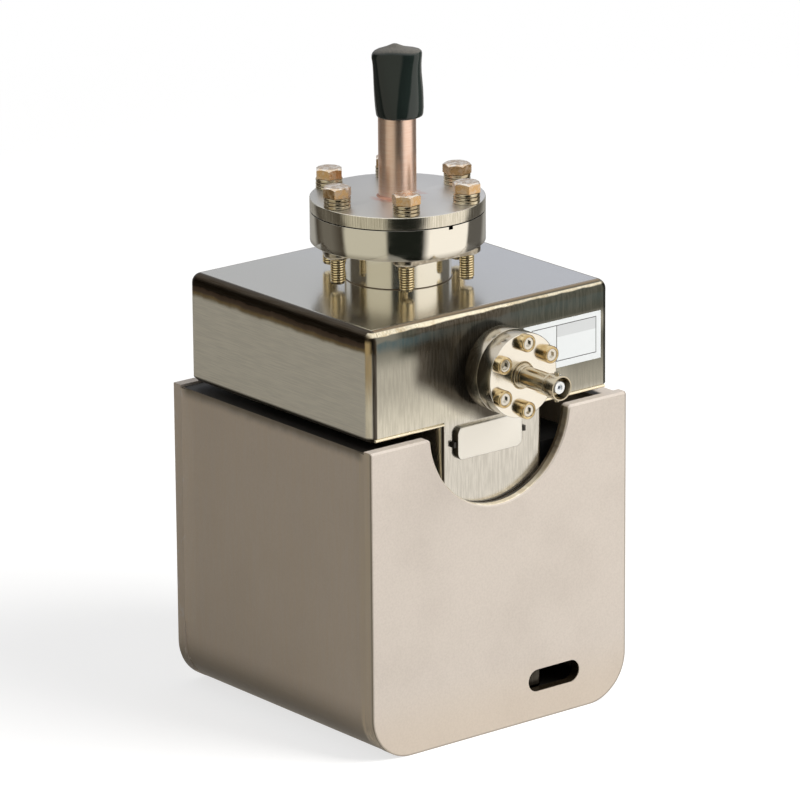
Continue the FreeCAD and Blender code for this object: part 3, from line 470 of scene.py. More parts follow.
# Vessel: brushed stainless sheet, folded and TIG welded along its edges.
# The welds' heat left straw, brown and blue tints, darkest along the left upper edge.
CHAMBER_TOP = 172.8
CHAMBER_FLOOR = 128.6
SHEET = shade(0.86, 0.82, 0.70)
SHEET_TOP_LIGHT = shade(0.97, 0.965, 0.965)
SHEET_LEFT_LIGHT = shade(1.0, 0.93, 0.76)
POCKET_FRONT_SHADE = shade(0.66, 0.64, 0.60)
POCKET_FOOT_SHADE = shade(0.02, 0.016, 0.012)
REFLECTION_DARK = shade(0.035, 0.04, 0.03)
FLANGE_IMAGE_DARK = shade(0.044, 0.033, 0.020)
BURNT = shade(0.035, 0.023, 0.012)
BROWN = shade(0.17, 0.115, 0.08)
TAN = shade(0.27, 0.20, 0.15)
STRAW = shade(0.60, 0.45, 0.24)
BLUED = shade(0.075, 0.115, 0.125)
BEAD_GOLD = shade(1.0, 0.90, 0.68)
BEAD_SHADE = shade(0.20, 0.13, 0.06)
BRUSHED_DARK = shade(0.20, 0.19, 0.16)

sheet = new_material("stainless_sheet", SHEET, 0.2, metallic=1.0)
spot = place_on(sheet)
place = split(spot)
normal = facing(spot)
forward = -place["Y"]
leftward = -normal["X"]
on_top = normal["Z"].rises(0.90, 0.98)
on_left = leftward.rises(0.10, 0.30)
on_front = (-normal["Y"]).rises(0.25, 0.60)
on_chamber = place["Z"].rises(CHAMBER_FLOOR - 0.6, CHAMBER_FLOOR)
above_pocket = place["Z"].rises(126.0, 133.0)
waver = noise(spot, 7.0, detail=4.0) - 0.5
below_top = CHAMBER_TOP - place["Z"] + waver * 2.6
# Painted light: the top is whiter and brightens towards +X.
finish = (on_top * (0.35 + place["X"].rises(-50.0, 60.0) * 0.65)).paints(SHEET, SHEET_TOP_LIGHT)
# Painted shade: the pocket's front, in the notch, is greyer.
finish = (on_front * (1.0 - above_pocket) * 0.85).paints(finish, POCKET_FRONT_SHADE)
# Painted light: the left face is a lighter, warmer tone.
finish = (on_left * on_chamber * (1.0 - on_top)).paints(finish, SHEET_LEFT_LIGHT)
# Painted shade: the pocket's front is near black at its foot.
finish = (on_front * place["Z"].falls(22.0, 32.0) * 0.985).paints(finish, POCKET_FOOT_SHADE)

# Painted reflection darkens the chamber's front, most at its top and beside the small flange.
height = place["Z"] + waver * 2.2
sideways = place["X"] + waver * 2.0
drift = noise(spot, 14.0) - 0.5
painted_reflection = height.rises(131.0, 150.0) * 0.30 + height.rises(154.0, 165.0) * 0.30 + 0.22
painted_reflection = painted_reflection + sideways.rises(20.0, 44.0) * place["Z"].falls(150.0, 160.0) * 0.36
painted_reflection = painted_reflection + place["Z"].rises(158.0, 163.0) * sideways.rises(-50.0, -40.0) * 0.22
finish = (on_front * above_pocket * painted_reflection.least(0.965)).paints(finish, REFLECTION_DARK)
# Painted reflection: the small flange's dark image on the wall beside it.
above_slant = (place["Z"] + place["X"] * 0.66 + drift * 6.0).rises(119.5, 128.0)
beside_flange = above_slant * (place["X"] + drift * 6.0).rises(-42.0, -35.0) * sideways.falls(2.0, 20.0)
flange_image_shade = on_front * on_chamber * beside_flange
finish = (flange_image_shade * 0.96).paints(finish, FLANGE_IMAGE_DARK)
# Heat left a blue tint below the front's top edge.
front_blue = on_front * below_top.rises(4.0, 5.2) * below_top.falls(6.0, 10.0) * (
    1.0 - place["X"].rises(-44.0, -20.0) * 0.7)
finish = (front_blue * 0.85).paints(finish, BLUED)
heat = (below_top / 10.0).ramp((0.0, BURNT), (0.44, BURNT), (0.50, BROWN), (0.66, TAN), (0.76, STRAW),
                               (0.98, SHEET))
finish = (on_left * on_chamber * below_top.falls(8.0, 9.5)).paints(finish, heat)

# Beads: gold and rippled along the front upper edge, with a darker line above, and straw at the near upright
# corner, beside a dark line painted as reflection. The left face is dark along its lower edge.
along = place["X"].rises(-58.0, 20.0)
ripple = noise(spot, 0.75, (1, 0.35, 0.35), 1.0).rises(0.4, 0.6)
ripple = ripple * (1.0 - place["X"].rises(-48.0, -20.0) * 0.6)
rounding = (-normal["Y"]).rises(0.05, 0.2) * on_chamber * place["Z"].rises(164.0, 166.0) * (
    place["X"].rises(-60.0, -58.0))
bead_low = normal["Z"] - along * 0.12 + waver * 0.25
on_bead = rounding * bead_low.rises(0.38, 0.52) * (normal["Z"] + along * 0.08).falls(0.80, 0.90)
patches = noise(spot, 4.5, detail=4.0).rises(0.46, 0.66) * 0.42
finish = on_bead.paints(finish, (ripple * 0.26 + patches).paints(BEAD_GOLD, STRAW))
bead_rim = on_chamber * normal["Z"].rises(0.80, 0.90) * normal["Z"].falls(0.985, 0.998)
finish = (bead_rim * 0.85).paints(finish, leftward.rises(0.03, 0.10).paints(BEAD_SHADE, BURNT))
near_corner = forward.rises(54.0, 54.8) * normal["Z"].falls(0.2, 0.4) * place["Z"].falls(168.0, 170.0)
corner_strip = near_corner * leftward.rises(0.55, 0.66)
finish = corner_strip.paints(finish, place["Z"].rises(139.0, 158.0).paints(BEAD_GOLD, STRAW))
# Painted reflection: a dark line on the near corner's rounding.
corner_reflection_line = near_corner * leftward.rises(0.10, 0.22) * leftward.falls(0.50, 0.62)
finish = (corner_reflection_line * 0.97).paints(finish, BURNT)
lower_edge = on_chamber * on_left * place["Z"].falls(CHAMBER_FLOOR + 1.6, CHAMBER_FLOOR + 2.4)
finish = (lower_edge * 0.9).paints(finish, BURNT)

# The front is brushed upright, and all other faces level.
upright_grain = noise(spot, 0.3, (1, 1, 0.03), 3.0)
level_grain = noise(spot, 0.3, (1, 0.03, 1), 3.0)
strokes = noise(spot, 0.9, (1, 1, 0.1), 5.0).rises(0.35, 0.65) * on_front * 0.22
brushed = (level_grain * (1.0 - on_front)).rises(0.35, 0.65) * (1.0 - on_top * 0.7) * 0.14
finish = (strokes + brushed).paints(finish, BRUSHED_DARK)
relief = upright_grain * on_front + level_grain * (1.0 - on_front) + on_bead * ripple * 6.0
feed(sheet, Base_Color=finish,
     Roughness=0.13 + on_top * 0.04 + on_left * 0.16 + on_front * 0.07,
     Metallic=1.0 - on_left * on_chamber * below_top.rises(8.0, 10.0) * 0.72 - flange_image_shade * 0.34,
     Normal=bump(relief, 0.006))
dress(sheet, "chamber_shell", "chamber_floor", "pump_pocket", "anode_cells", "anode_band",
      "element_bracket_front", "element_bracket_rear", "sputter_shields")

# Vessel welds: where the pocket's front meets the chamber's, the weld is ground flush, so
# one sheet seems to run on. To both sides of it a thin gold bead closes the chamber's floor.
FRONT_WALL = 57.55
FLUSH_WELD_HALF = 24.0
LOWER_BEAD_HALF = 58.0


def block(x, y, z):
    """A box between pairs of limits."""
    return prism([(x[0], y[0]), (x[1], y[0]), (x[1], y[1]), (x[0], y[1])], *z)


def rounded(shape, edges, offset, segments=3):
    bmesh.ops.bevel(shape, geom=edges, offset=offset, offset_type="OFFSET", segments=segments,
                    profile=0.5, affect="EDGES", material=-1)
    return shape


def carved(shape, cutter, operation="DIFFERENCE"):
    """The shape without the cutter, or only where both are."""
    pair = []
    for part in (shape, cutter):
        mesh = bpy.data.meshes.new("part")
        part.to_mesh(mesh)
        part.free()
        pair.append(bpy.data.objects.new("part", mesh))
        bpy.context.collection.objects.link(pair[-1])
    tool = pair[0].modifiers.new("carve", "BOOLEAN")
    tool.operation = operation
    tool.solver = "EXACT"
    tool.object = pair[1]
    result = bmesh.new()
    result.from_object(pair[0], bpy.context.evaluated_depsgraph_get())
    for part in pair:
        mesh = part.data
        bpy.data.objects.remove(part)
        bpy.data.meshes.remove(mesh)
    return result


flush_weld = block((-FLUSH_WELD_HALF, FLUSH_WELD_HALF), (-FRONT_WALL - 0.03, -55.4), (126.5, 132.5))
make("pocket_top_weld", flush_weld, sheet, "vessel")
lower_bead = block((-LOWER_BEAD_HALF, LOWER_BEAD_HALF), (-57.8, -56.6), (128.7, 129.9))
long_edges = [edge for edge in lower_bead.edges if abs(edge.verts[0].co.x - edge.verts[1].co.x) > 1]
lower_bead = carved(rounded(lower_bead, long_edges, 0.5),
                    block((-FLUSH_WELD_HALF, FLUSH_WELD_HALF), (-60.0, -55.0), (128.0, 131.0)))
bead_metal = new_material("bead_metal", BEAD_GOLD, 0.22, metallic=0.8)
make("lower_front_bead", lower_bead, bead_metal, "vessel")

# Neck: a short turned stainless tube, TIG welded to the chamber's top.
# The weld is a thin fused line round its foot.
NECK_RADIUS = 21.15


def spun(outline, steps=128, angle=360, rise=0.0):
    """Spin a closed outline of (radius, height) corners about the Z axis.

    A corner's third number, if it has one, is how far it is rounded.
    """
    shape = bmesh.new()
    corners = [shape.verts.new((corner[0], 0, corner[1])) for corner in outline]
    shape.faces.new(corners)
    for vert, corner in zip(corners, outline):
        if len(corner) > 2:
            bmesh.ops.bevel(shape, geom=[vert], offset=corner[2], offset_type="OFFSET", segments=3,
                            profile=0.5, affect="VERTICES", material=-1)
    bmesh.ops.delete(shape, geom=shape.faces[:], context="FACES_ONLY")
    bmesh.ops.spin(shape, geom=shape.verts[:] + shape.edges[:], cent=(0, 0, 0), axis=(0, 0, 1),
                   dvec=(0, 0, rise / steps), angle=math.radians(angle), steps=steps,
                   use_merge=angle == 360 and not rise)
    bmesh.ops.remove_doubles(shape, verts=shape.verts[:], dist=0.0005)
    open_edges = [edge for edge in shape.edges if edge.is_boundary]
    if open_edges:
        bmesh.ops.holes_fill(shape, edges=open_edges, sides=0)
    bmesh.ops.recalc_face_normals(shape, faces=shape.faces[:])
    return shape


turned = new_material("turned_stainless", shade(0.86, 0.83, 0.74), 0.13, metallic=1.0)
spot = place_on(turned)
feed(turned, Roughness=0.11 + noise(spot, 5.0) * 0.06,
     Normal=bump(noise(spot, 0.25, (0.02, 0.02, 1), 2.0), 0.0012))
dress(turned, "neck_tube", "hv_stub_tube")
weld_metal = new_material("weld_metal", shade(0.24, 0.19, 0.13), 0.3, metallic=1.0)
feed(weld_metal, Normal=bump(noise(place_on(weld_metal), 0.5, detail=1.0), 0.08))
neck_weld = spun([(NECK_RADIUS - 0.15, CHAMBER_TOP - 0.2), (NECK_RADIUS + 0.45, CHAMBER_TOP - 0.2, 0.15),
                  (NECK_RADIUS + 0.35, CHAMBER_TOP + 0.15, 0.15), (NECK_RADIUS - 0.15, CHAMBER_TOP + 0.4)],
                 192)
make("neck_weld", neck_weld, weld_metal, "vessel")

# Fixed port flange: turned from stainless bar, with a polished rim and rounded edges.
# A knife edge in its recess bites the gasket, and two grooves let leak-test gas reach it.
FLANGE_RADIUS = 34.65
FLANGE_LOW = 187.9
FLANGE_TOP = 200.6
SEAM_RADIUS = 33.8
SEAM_DEPTH = 0.45
RECESS_RADIUS = 24.2
RECESS_DEPTH = 1.8
KNIFE_RADIUS = 20.95
KNIFE_HEIGHT = 0.8
LEAK_HALF_WIDTH = 1.0
LEAK_DEPTH = 1.7
PORT_BORE = 19.0
PORT_TURN = -2.2
BOLT_RADIUS = 29.35
BOLT_HOLE = 3.35
RIM_POLISH = shade(0.88, 0.85, 0.765)
RIM_UNDER_SHADE = shade(0.09, 0.075, 0.05)
RIM_FOOT = shade(0.24, 0.21, 0.16)
SEAM_SHADE = grey(0.008)


def turned_to(shape, degrees, axis="Z"):
    shape.transform(Matrix.Rotation(math.radians(degrees), 4, axis))
    return shape


def moved(shape, x, y, z):
    shape.transform(Matrix.Translation((x, y, z)))
    return shape


def ringed(shape, count):
    """Repeat a shape about the Z axis."""
    first = shape.verts[:] + shape.edges[:] + shape.faces[:]
    for step in range(1, count):
        copy = bmesh.ops.duplicate(shape, geom=first)["geom"]
        bmesh.ops.rotate(shape, verts=[item for item in copy if isinstance(item, bmesh.types.BMVert)],
                         cent=(0, 0, 0), matrix=Matrix.Rotation(2 * math.pi * step / count, 3, "Z"))
    return shape


def rod(radius, low, high, steps=24):
    return spun([(0, low), (radius, low), (radius, high), (0, high)], steps)


def bolt_holes(low, high):
    return ringed(moved(rod(BOLT_HOLE, low, high), BOLT_RADIUS, 0, 0), 6)


rim = new_material("polished_rim", RIM_POLISH, 0.07, metallic=1.0)
spot = place_on(rim)
place = split(spot)
in_seam = place["X"].across(place["Y"]).falls(FLANGE_RADIUS - 0.3, FLANGE_RADIUS - 0.15)
in_seam = in_seam * place["Z"].rises(FLANGE_TOP - 0.8, FLANGE_TOP - 0.6)
# Painted shade: the flange's underside is dark.
underneath = (-facing(spot)["Z"]).rises(0.8, 0.95)
finish = underneath.paints(RIM_POLISH, RIM_UNDER_SHADE)
finish = (place["Z"].falls(FLANGE_LOW + 0.1, FLANGE_LOW + 2.5) * 0.6).paints(finish, RIM_FOOT)
feed(rim, Base_Color=in_seam.paints(finish, SEAM_SHADE),
     Roughness=0.06 + noise(spot, 4.0).rises(0.3, 0.8) * 0.07 + underneath * 0.3,
     Normal=bump(noise(spot, 0.3, (0.02, 0.02, 1), 2.0), 0.0006))
fixed = spun([(PORT_BORE, FLANGE_LOW), (FLANGE_RADIUS, FLANGE_LOW, 0.25),
              (FLANGE_RADIUS, FLANGE_TOP - SEAM_DEPTH, 0.05), (SEAM_RADIUS, FLANGE_TOP - SEAM_DEPTH),
              (SEAM_RADIUS, FLANGE_TOP), (RECESS_RADIUS, FLANGE_TOP),
              (RECESS_RADIUS, FLANGE_TOP - RECESS_DEPTH),
              (KNIFE_RADIUS, FLANGE_TOP - RECESS_DEPTH + KNIFE_HEIGHT),
              (PORT_BORE, FLANGE_TOP - RECESS_DEPTH)], 192)
leak_groove = block((-LEAK_HALF_WIDTH, LEAK_HALF_WIDTH), (RECESS_RADIUS + 0.3, 36.0),
                    (FLANGE_TOP - LEAK_DEPTH, FLANGE_TOP + 0.4))
holes = bolt_holes(FLANGE_LOW - 0.9, FLANGE_TOP + 0.9)
fixed = carved(fixed, joined(holes, ringed(leak_groove, 2)))
make("port_flange_turned", turned_to(fixed, PORT_TURN), rim, "vessel",
     ["port_flange"])

# Copper: the gaskets are flat soft rings, squeezed between knife edges. The pinch-off tube
# is drawn copper, brazed into the blank plate, and its end is pinched shut under the cap.
COPPER_PALE = shade(1.0, 0.76, 0.64)
COPPER_DULL = shade(0.88, 0.57, 0.42)

copper = new_material("copper", shade(0.86, 0.58, 0.44), 0.26, metallic=1.0)
rubbed_lines = noise(place_on(copper), 0.35, (0.06, 0.06, 1), 3.0)
feed(copper, Base_Color=(rubbed_lines.rises(0.35, 0.7) * 0.45).paints(COPPER_PALE, COPPER_DULL),
     Roughness=0.3 + rubbed_lines * 0.08, Normal=bump(rubbed_lines, 0.005))
dress(copper, "port_gasket", "hv_gasket", "pinch_off_tube")

# Blank plate: satin stainless, with fine upright machining marks on its rim.
# The brazing of the copper tube left a red halo round the tube's foot.
BLANK_TOP = 205.5
TUBE_RADIUS = 7.5
FACE_LEFT_SHADE = shade(0.61, 0.60, 0.57)
FACE_RIGHT_LIT = shade(0.82, 0.81, 0.80)
BRAZE_BLUSH = shade(0.70, 0.27, 0.19)
MARKS_DARK = shade(0.60, 0.56, 0.46)
MARKS_PALE = shade(0.86, 0.82, 0.71)

satin = new_material("satin_plate", shade(0.68, 0.67, 0.65), 0.42, metallic=1.0)
spot = place_on(satin)
place = split(spot)
normal = facing(spot)
out = place["X"].across(place["Y"])
on_rim = out.rises(FLANGE_RADIUS - 0.45, FLANGE_RADIUS - 0.15)
in_seam = place["Z"].falls(FLANGE_TOP + 0.1, FLANGE_TOP + 0.25) * (-normal["Z"]).rises(0.3, 0.6)
halo = normal["Z"].rises(0.5, 0.8) * out.rises(TUBE_RADIUS - 0.5, TUBE_RADIUS + 2.0)
halo = halo * out.falls(TUBE_RADIUS + 2.0, TUBE_RADIUS + 5.5)
blush = noise(spot, 4.0, detail=3.0).rises(0.45, 0.62)
marks = noise(spot, 0.2, (1, 1, 0.02), 2.0).rises(0.3, 0.7)
# Painted light: the face is darker to the left and lighter to the right.
face_colour = place["X"].rises(-34.0, 34.0).paints(FACE_LEFT_SHADE, FACE_RIGHT_LIT)
face_colour = (halo * blush * 0.4).paints(face_colour, BRAZE_BLUSH)
face_colour = in_seam.paints(face_colour, SEAM_SHADE)
feed(satin, Base_Color=on_rim.paints(face_colour, marks.paints(MARKS_DARK, MARKS_PALE)),
     Roughness=0.40 - on_rim * 0.22,
     Normal=bump(noise(spot, 0.4, detail=3.0) * (1.0 - on_rim) + marks * on_rim, 0.004))
blank = spun([(TUBE_RADIUS, FLANGE_TOP + RECESS_DEPTH),
              (KNIFE_RADIUS, FLANGE_TOP + RECESS_DEPTH - KNIFE_HEIGHT),
              (RECESS_RADIUS, FLANGE_TOP + RECESS_DEPTH),
              (RECESS_RADIUS, FLANGE_TOP), (FLANGE_RADIUS, FLANGE_TOP, 0.05),
              (FLANGE_RADIUS, BLANK_TOP, 0.45), (TUBE_RADIUS, BLANK_TOP)], 192)
blank = carved(blank, bolt_holes(FLANGE_TOP - 0.6, BLANK_TOP + 1.0))
make("blank_plate", turned_to(blank, PORT_TURN), satin, "vessel",
     ["pinch_off_flange"])
braze = new_material("braze", shade(0.50, 0.27, 0.19), 0.42, metallic=1.0)
fillet = spun([(TUBE_RADIUS - 0.1, BLANK_TOP - 0.1), (TUBE_RADIUS + 1.0, BLANK_TOP - 0.1, 0.1),
               (TUBE_RADIUS + 0.4, BLANK_TOP + 0.25, 0.2), (TUBE_RADIUS - 0.1, BLANK_TOP + 0.9)], 96)
make("tube_braze", fillet, braze, "vessel")

# Bolts: hex heads with a turned crown, yellow passivated and partly rubbed pale.
# Their threads stick out under the plate nuts, with painted shade, a dark core, in the grooves.
BOLT_SEAT = 210.0
BOLT_TOP = 214.0
BOLT_TIP = 174.6
CORE_RADIUS = 2.6
SHANK_RADIUS = 2.95
SHANK_LOW = 185.0
HEX_FLATS = 10.0
HEAD_TURNS = (17, 53, 54, 44, 10, 3)
TOOTH = ((2.5, 0), (2.96, 0.14), (2.96, 0.66), (2.5, 0.8))
THREAD_PITCH = 1.0
THREAD_TURNS = 10
THREAD_STEPS = 24
PASSIVATED = shade(0.68, 0.44, 0.22)
RUBBED = shade(0.92, 0.85, 0.76)
THREAD_GOLD = shade(1.0, 0.85, 0.54)


def hexagon(flats, first=0):
    corner = flats / 2 / math.cos(math.radians(30))
    return [(corner * math.cos(math.radians(first + 60 * step)),
             corner * math.sin(math.radians(first + 60 * step))) for step in range(6)]


def at_bolt(step):
    """The middle of one of the port's six bolts."""
    turn = math.radians(60 * step)
    return BOLT_RADIUS * Vector((math.cos(turn), math.sin(turn), 0))


golden = new_material("golden_steel", shade(0.60, 0.43, 0.25), 0.3, metallic=1.0)
spot = place_on(golden)
above_thread = split(spot)["Z"].rises(188.0, 190.0)
worn = noise(spot, 1.8, detail=3.0).rises(0.42, 0.68)
rubbed = (facing(spot)["Z"].rises(0.35, 0.85) * (worn * 0.6 + 0.4) + worn * 0.35).least(1.0)
feed(golden, Base_Color=above_thread.paints(THREAD_GOLD, rubbed.paints(PASSIVATED, RUBBED)),
     Roughness=0.26 + above_thread * worn * 0.12)
thread = bmesh.new()
tooth = [thread.verts.new((radius, 0, BOLT_TIP + 0.4 + height)) for radius, height in TOOTH]
for start, end in zip(tooth, tooth[1:]):
    thread.edges.new((start, end))
bmesh.ops.spin(thread, geom=thread.verts[:] + thread.edges[:], cent=(0, 0, 0), axis=(0, 0, 1),
               dvec=(0, 0, THREAD_PITCH / THREAD_STEPS), angle=2 * math.pi * THREAD_TURNS,
               steps=THREAD_STEPS * THREAD_TURNS)
bmesh.ops.remove_doubles(thread, verts=thread.verts[:], dist=0.001)
bmesh.ops.recalc_face_normals(thread, faces=thread.faces[:])
tip = spun([(0, BOLT_TIP), (2.0, BOLT_TIP), (CORE_RADIUS, BOLT_TIP + 0.5), (CORE_RADIUS, BOLT_TIP + 0.8),
            (0, BOLT_TIP + 0.8)], 32)
shank = joined(tip, thread, rod(SHANK_RADIUS, SHANK_LOW, BOLT_SEAT + 0.2, 32))
bolts = bmesh.new()
for step, head_turn in enumerate(HEAD_TURNS):
    head = prism(hexagon(HEX_FLATS, head_turn), BOLT_SEAT, BOLT_TOP)
    crown = spun([(0, BOLT_SEAT - 1), (5.3, BOLT_SEAT - 1), (5.9, BOLT_SEAT + 0.3), (5.9, BOLT_TOP - 0.9),
                  (4.6, BOLT_TOP - 0.05, 0.2), (4.2, BOLT_TOP, 0.1), (0, BOLT_TOP)], 48)
    head = carved(head, crown, "INTERSECT")
    bolts = joined(bolts, moved(head, *at_bolt(step)), moved(shank.copy(), *at_bolt(step)))
shank.free()
make("hex_bolts", turned_to(bolts, PORT_TURN), golden, "vessel", ["port_bolts"])
# Painted shade: a dark core shows in the thread grooves.
groove_shade = new_material("thread_groove_shade", shade(0.09, 0.066, 0.04), 0.4, metallic=0.8)
cores = ringed(moved(rod(CORE_RADIUS, BOLT_TIP + 0.3, SHANK_LOW + 0.2, 32), BOLT_RADIUS, 0, 0), 6)
make("thread_grooves", turned_to(cores, PORT_TURN), groove_shade, "vessel")

# Spring washers: three split rings of dark bronze-coloured spring steel under each head.
# They are coiled from one bar, so each has a gap, and the gaps lie in different directions.
WASHER_LOW = 205.53
WASHER_PITCH = 1.5
WASHER_OUTLINE = [(3.1, 0, 0.2), (5.35, 0, 0.3), (5.35, 1.25, 0.3), (3.1, 1.25, 0.2)]
BRONZE_DARK = shade(0.44, 0.35, 0.22)
BRONZE_PALE = shade(0.80, 0.72, 0.54)

bronze = new_material("spring_steel", shade(0.40, 0.31, 0.185), 0.22, metallic=1.0)
mottle = noise(place_on(bronze), 4.0, detail=1.0).rises(0.3, 0.75)
feed(bronze, Base_Color=mottle.paints(BRONZE_DARK, BRONZE_PALE))
rings = []
for layer in range(3):
    split_ring = turned_to(spun(WASHER_OUTLINE, 40, 352, 0.08), 30 + 25 * layer)
    rings.append(moved(split_ring, 0, 0, WASHER_LOW + WASHER_PITCH * layer))
stack = joined(*rings)
washers = bmesh.new()
for step in range(6):
    washers = joined(washers, moved(stack.copy(), *at_bolt(step)))
stack.free()
make("split_washers", turned_to(washers, PORT_TURN), bronze, "vessel",
     ["spring_washers"])

# Plate nuts: three pressed steel strips under the fixed flange, hollowed to clear the neck.
# Each has two rounded collars, threaded for the bolts.
NUT_LOW = 185.7
NUT_HALF_WIDTH = 5.5
COLLAR_BORE = 2.4
NUT_DARK = shade(0.30, 0.26, 0.20)
NUT_PALE = shade(0.56, 0.51, 0.42)

nut_steel = new_material("nut_steel", shade(0.40, 0.36, 0.29), 0.22, metallic=1.0)
spot = place_on(nut_steel)
feed(nut_steel, Base_Color=noise(spot, 2.5, detail=4.0).rises(0.3, 0.75).paints(NUT_DARK, NUT_PALE),
     Normal=bump(noise(spot, 0.8, detail=2.0), 0.006))
plan = []
for middle, first in ((at_bolt(0), -150), (at_bolt(1), 30)):
    for step in range(17):
        turn = math.radians(first + 180 * step / 16)
        plan.append((middle.x + NUT_HALF_WIDTH * math.cos(turn), middle.y + NUT_HALF_WIDTH * math.sin(turn)))
strip = prism(plan, NUT_LOW, FLANGE_LOW)
flat_edges = [edge for edge in strip.edges if abs(edge.verts[0].co.z - edge.verts[1].co.z) < 0.01]
strip = carved(rounded(strip, flat_edges, 0.45, 2), rod(NECK_RADIUS + 0.6, NUT_LOW - 1, FLANGE_LOW + 1, 96))
collars = []
for step in range(2):
    collar = spun([(COLLAR_BORE, NUT_LOW - 1.1), (3.3, NUT_LOW - 1.1, 0.15), (4.5, NUT_LOW - 0.6, 0.3),
                   (5.2, NUT_LOW + 0.2), (COLLAR_BORE, NUT_LOW + 0.2)], 40)
    collars.append(moved(collar, *at_bolt(step)))
nuts = ringed(joined(strip, *collars), 3)
make("plate_nut_strips", turned_to(nuts, PORT_TURN), nut_steel, "vessel", ["plate_nuts"])

# Cap: dipped black vinyl, round at its mouth and pressed flatter over the pinched tube.
# It leans a little and is glossy, and its crown is paler, partly dust and partly painted sheen.
CAP_TURN = -50
CAP_SIDES = 96
CAP_BLACK = shade(0.016, 0.024, 0.021)
CAP_DUST_AND_SHEEN = shade(0.21, 0.19, 0.165)

vinyl = new_material("vinyl", CAP_BLACK, 0.1)
spot = place_on(vinyl)
dust_and_sheen = facing(spot)["Z"].rises(0.38, 0.8) * (noise(spot, 0.8, detail=4.0).rises(0.3, 0.8) * 0.5 + 0.5)
feed(vinyl, Base_Color=(dust_and_sheen * 0.75).paints(CAP_BLACK, CAP_DUST_AND_SHEEN), Roughness=0.09 + dust_and_sheen * 0.5,
     Normal=bump(noise(spot, 4.5, detail=1.0), 0.05))
# Height, half width, half depth, sideways lean and squareness of each level: from the top of
# the hollow down to the mouth, then up the outside to the peak.
levels = [(262.0, 7.9, 3.4, 0.1, 2.6), (256.0, 7.9, 5.4, 0.1, 2.4), (248.0, 7.8, 7.0, 0.1, 2.2),
          (242.0, 7.75, 7.75, 0, 2), (238.2, 7.75, 7.75, 0, 2), (237.85, 8.1, 8.1, 0.4, 2),
          (237.8, 8.7, 8.7, 0.8, 2), (238.1, 9.1, 9.1, 1.0, 2), (238.8, 9.3, 9.3, 1.05, 2),
          (241.0, 9.5, 9.3, 1.0, 2.1), (244.5, 9.6, 8.9, 0.85, 2.2), (248.0, 9.6, 8.3, 0.7, 2.4),
          (251.5, 9.5, 7.6, 0.5, 2.6), (255.0, 9.4, 6.9, 0.3, 2.8), (258.0, 9.45, 6.2, 0.2, 3.0),
          (260.0, 9.65, 5.8, 0.15, 3.0), (261.4, 9.85, 5.6, 0.1, 3.0), (262.5, 9.9, 5.4, 0.1, 2.8),
          (263.3, 9.65, 5.15, 0.1, 2.6), (263.9, 9.0, 4.75, 0.1, 2.4), (264.35, 7.8, 4.1, 0.05, 2.2),
          (264.7, 6.0, 3.2, -0.1, 2), (265.15, 4.0, 2.2, -0.3, 2), (265.85, 2.3, 1.4, -0.5, 2),
          (266.5, 1.0, 0.7, -0.6, 2)]
cap = bmesh.new()
loops = []
for height, half_width, half_depth, lean, square in levels:
    # The crown is arched across its width, and drops more on one side.
    arch = min(max((height - 255.0) / 8.0, 0.0), 1.0) * min((266.6 - height) / 2.0, 1.0)
    loop = []
    for step in range(CAP_SIDES):
        turn = 2 * math.pi * step / CAP_SIDES
        wide = abs(math.cos(turn)) / half_width
        deep = abs(math.sin(turn)) / half_depth
        reach = (wide ** square + deep ** square) ** (-1 / square)
        x = reach * math.cos(turn)
        rise = arch * (0.4 - (-0.3 if x > 0 else 1.1) * (x / 9.9) ** 2)
        loop.append(cap.verts.new((x + lean, reach * math.sin(turn), height + rise)))
    loops.append(loop)
for lower, upper in zip(loops, loops[1:]):
    for step in range(CAP_SIDES):
        following = (step + 1) % CAP_SIDES
        cap.faces.new((lower[step], lower[following], upper[following], upper[step]))
cap.faces.new(loops[-1])
cap.faces.new(loops[0][::-1])
bmesh.ops.recalc_face_normals(cap, faces=cap.faces[:])
make("vinyl_cap", turned_to(cap, CAP_TURN), vinyl, "cap", ["pinch_off_cap"], crease=60)

# Small flanges of the feedthrough: a fixed one on its stub, and one that carries the connector.
# Both are turned stainless, with chamfered rims and a fine lathe finish; their rims carry painted shade and
# their front faces painted light.
HV_HEIGHT = 149.1
HV_RADIUS = 16.9
HV_BOLT_RADIUS = 13.5
HV_SEAM = 11.6
LATHE_RIM_SHADE = shade(0.56, 0.51, 0.42)
LATHE_FACE_LIT = shade(0.90, 0.86, 0.77)


def to_front(shape, height=HV_HEIGHT):
    """Stand a shape drawn along +Z out from the front wall, by default at the feedthrough."""
    shape.transform(Matrix.Translation((0, -FRONT_WALL, height)) @ Matrix.Rotation(math.pi / 2, 4, "X"))
    return shape


lathe = new_material("lathe_finish", shade(0.82, 0.78, 0.69), 0.2, metallic=1.0)
spot = place_on(lathe)
face_on = (-facing(spot)["Y"]).rises(0.5, 0.9)
feed(lathe, Base_Color=face_on.paints(LATHE_RIM_SHADE, LATHE_FACE_LIT),
     Roughness=0.12 + noise(spot, 3.0, detail=3.0) * 0.12,
     Normal=bump(noise(spot, 0.22, (0.04, 1, 0.04), 2.0), 0.0016))
fixed_half = spun([(8.0, 4.1), (HV_RADIUS, 4.1, 0.3), (HV_RADIUS, HV_SEAM - 0.3, 0.1),
                   (16.3, HV_SEAM - 0.3), (16.3, HV_SEAM), (8.0, HV_SEAM)])
loose_half = spun([(5.0, HV_SEAM), (HV_RADIUS, HV_SEAM, 0.1), (HV_RADIUS, 19.1, 0.45), (5.6, 19.1, 0.3),
                   (5.0, 18.6)])
make("hv_fixed_flange", to_front(fixed_half), lathe, "vessel", ["hv_port_flange"])
make("hv_loose_flange", to_front(loose_half), lathe, "vessel",
     ["hv_feedthrough_flange"])

# Socket screws of the small flange: gold-coloured heads whose worn faces shine silver.
# Their shanks pull the loose flange onto the fixed one.
SCREW_TURN = 30
YELLOW_DARK = shade(0.56, 0.41, 0.20)
YELLOW_PALE = shade(0.86, 0.70, 0.42)

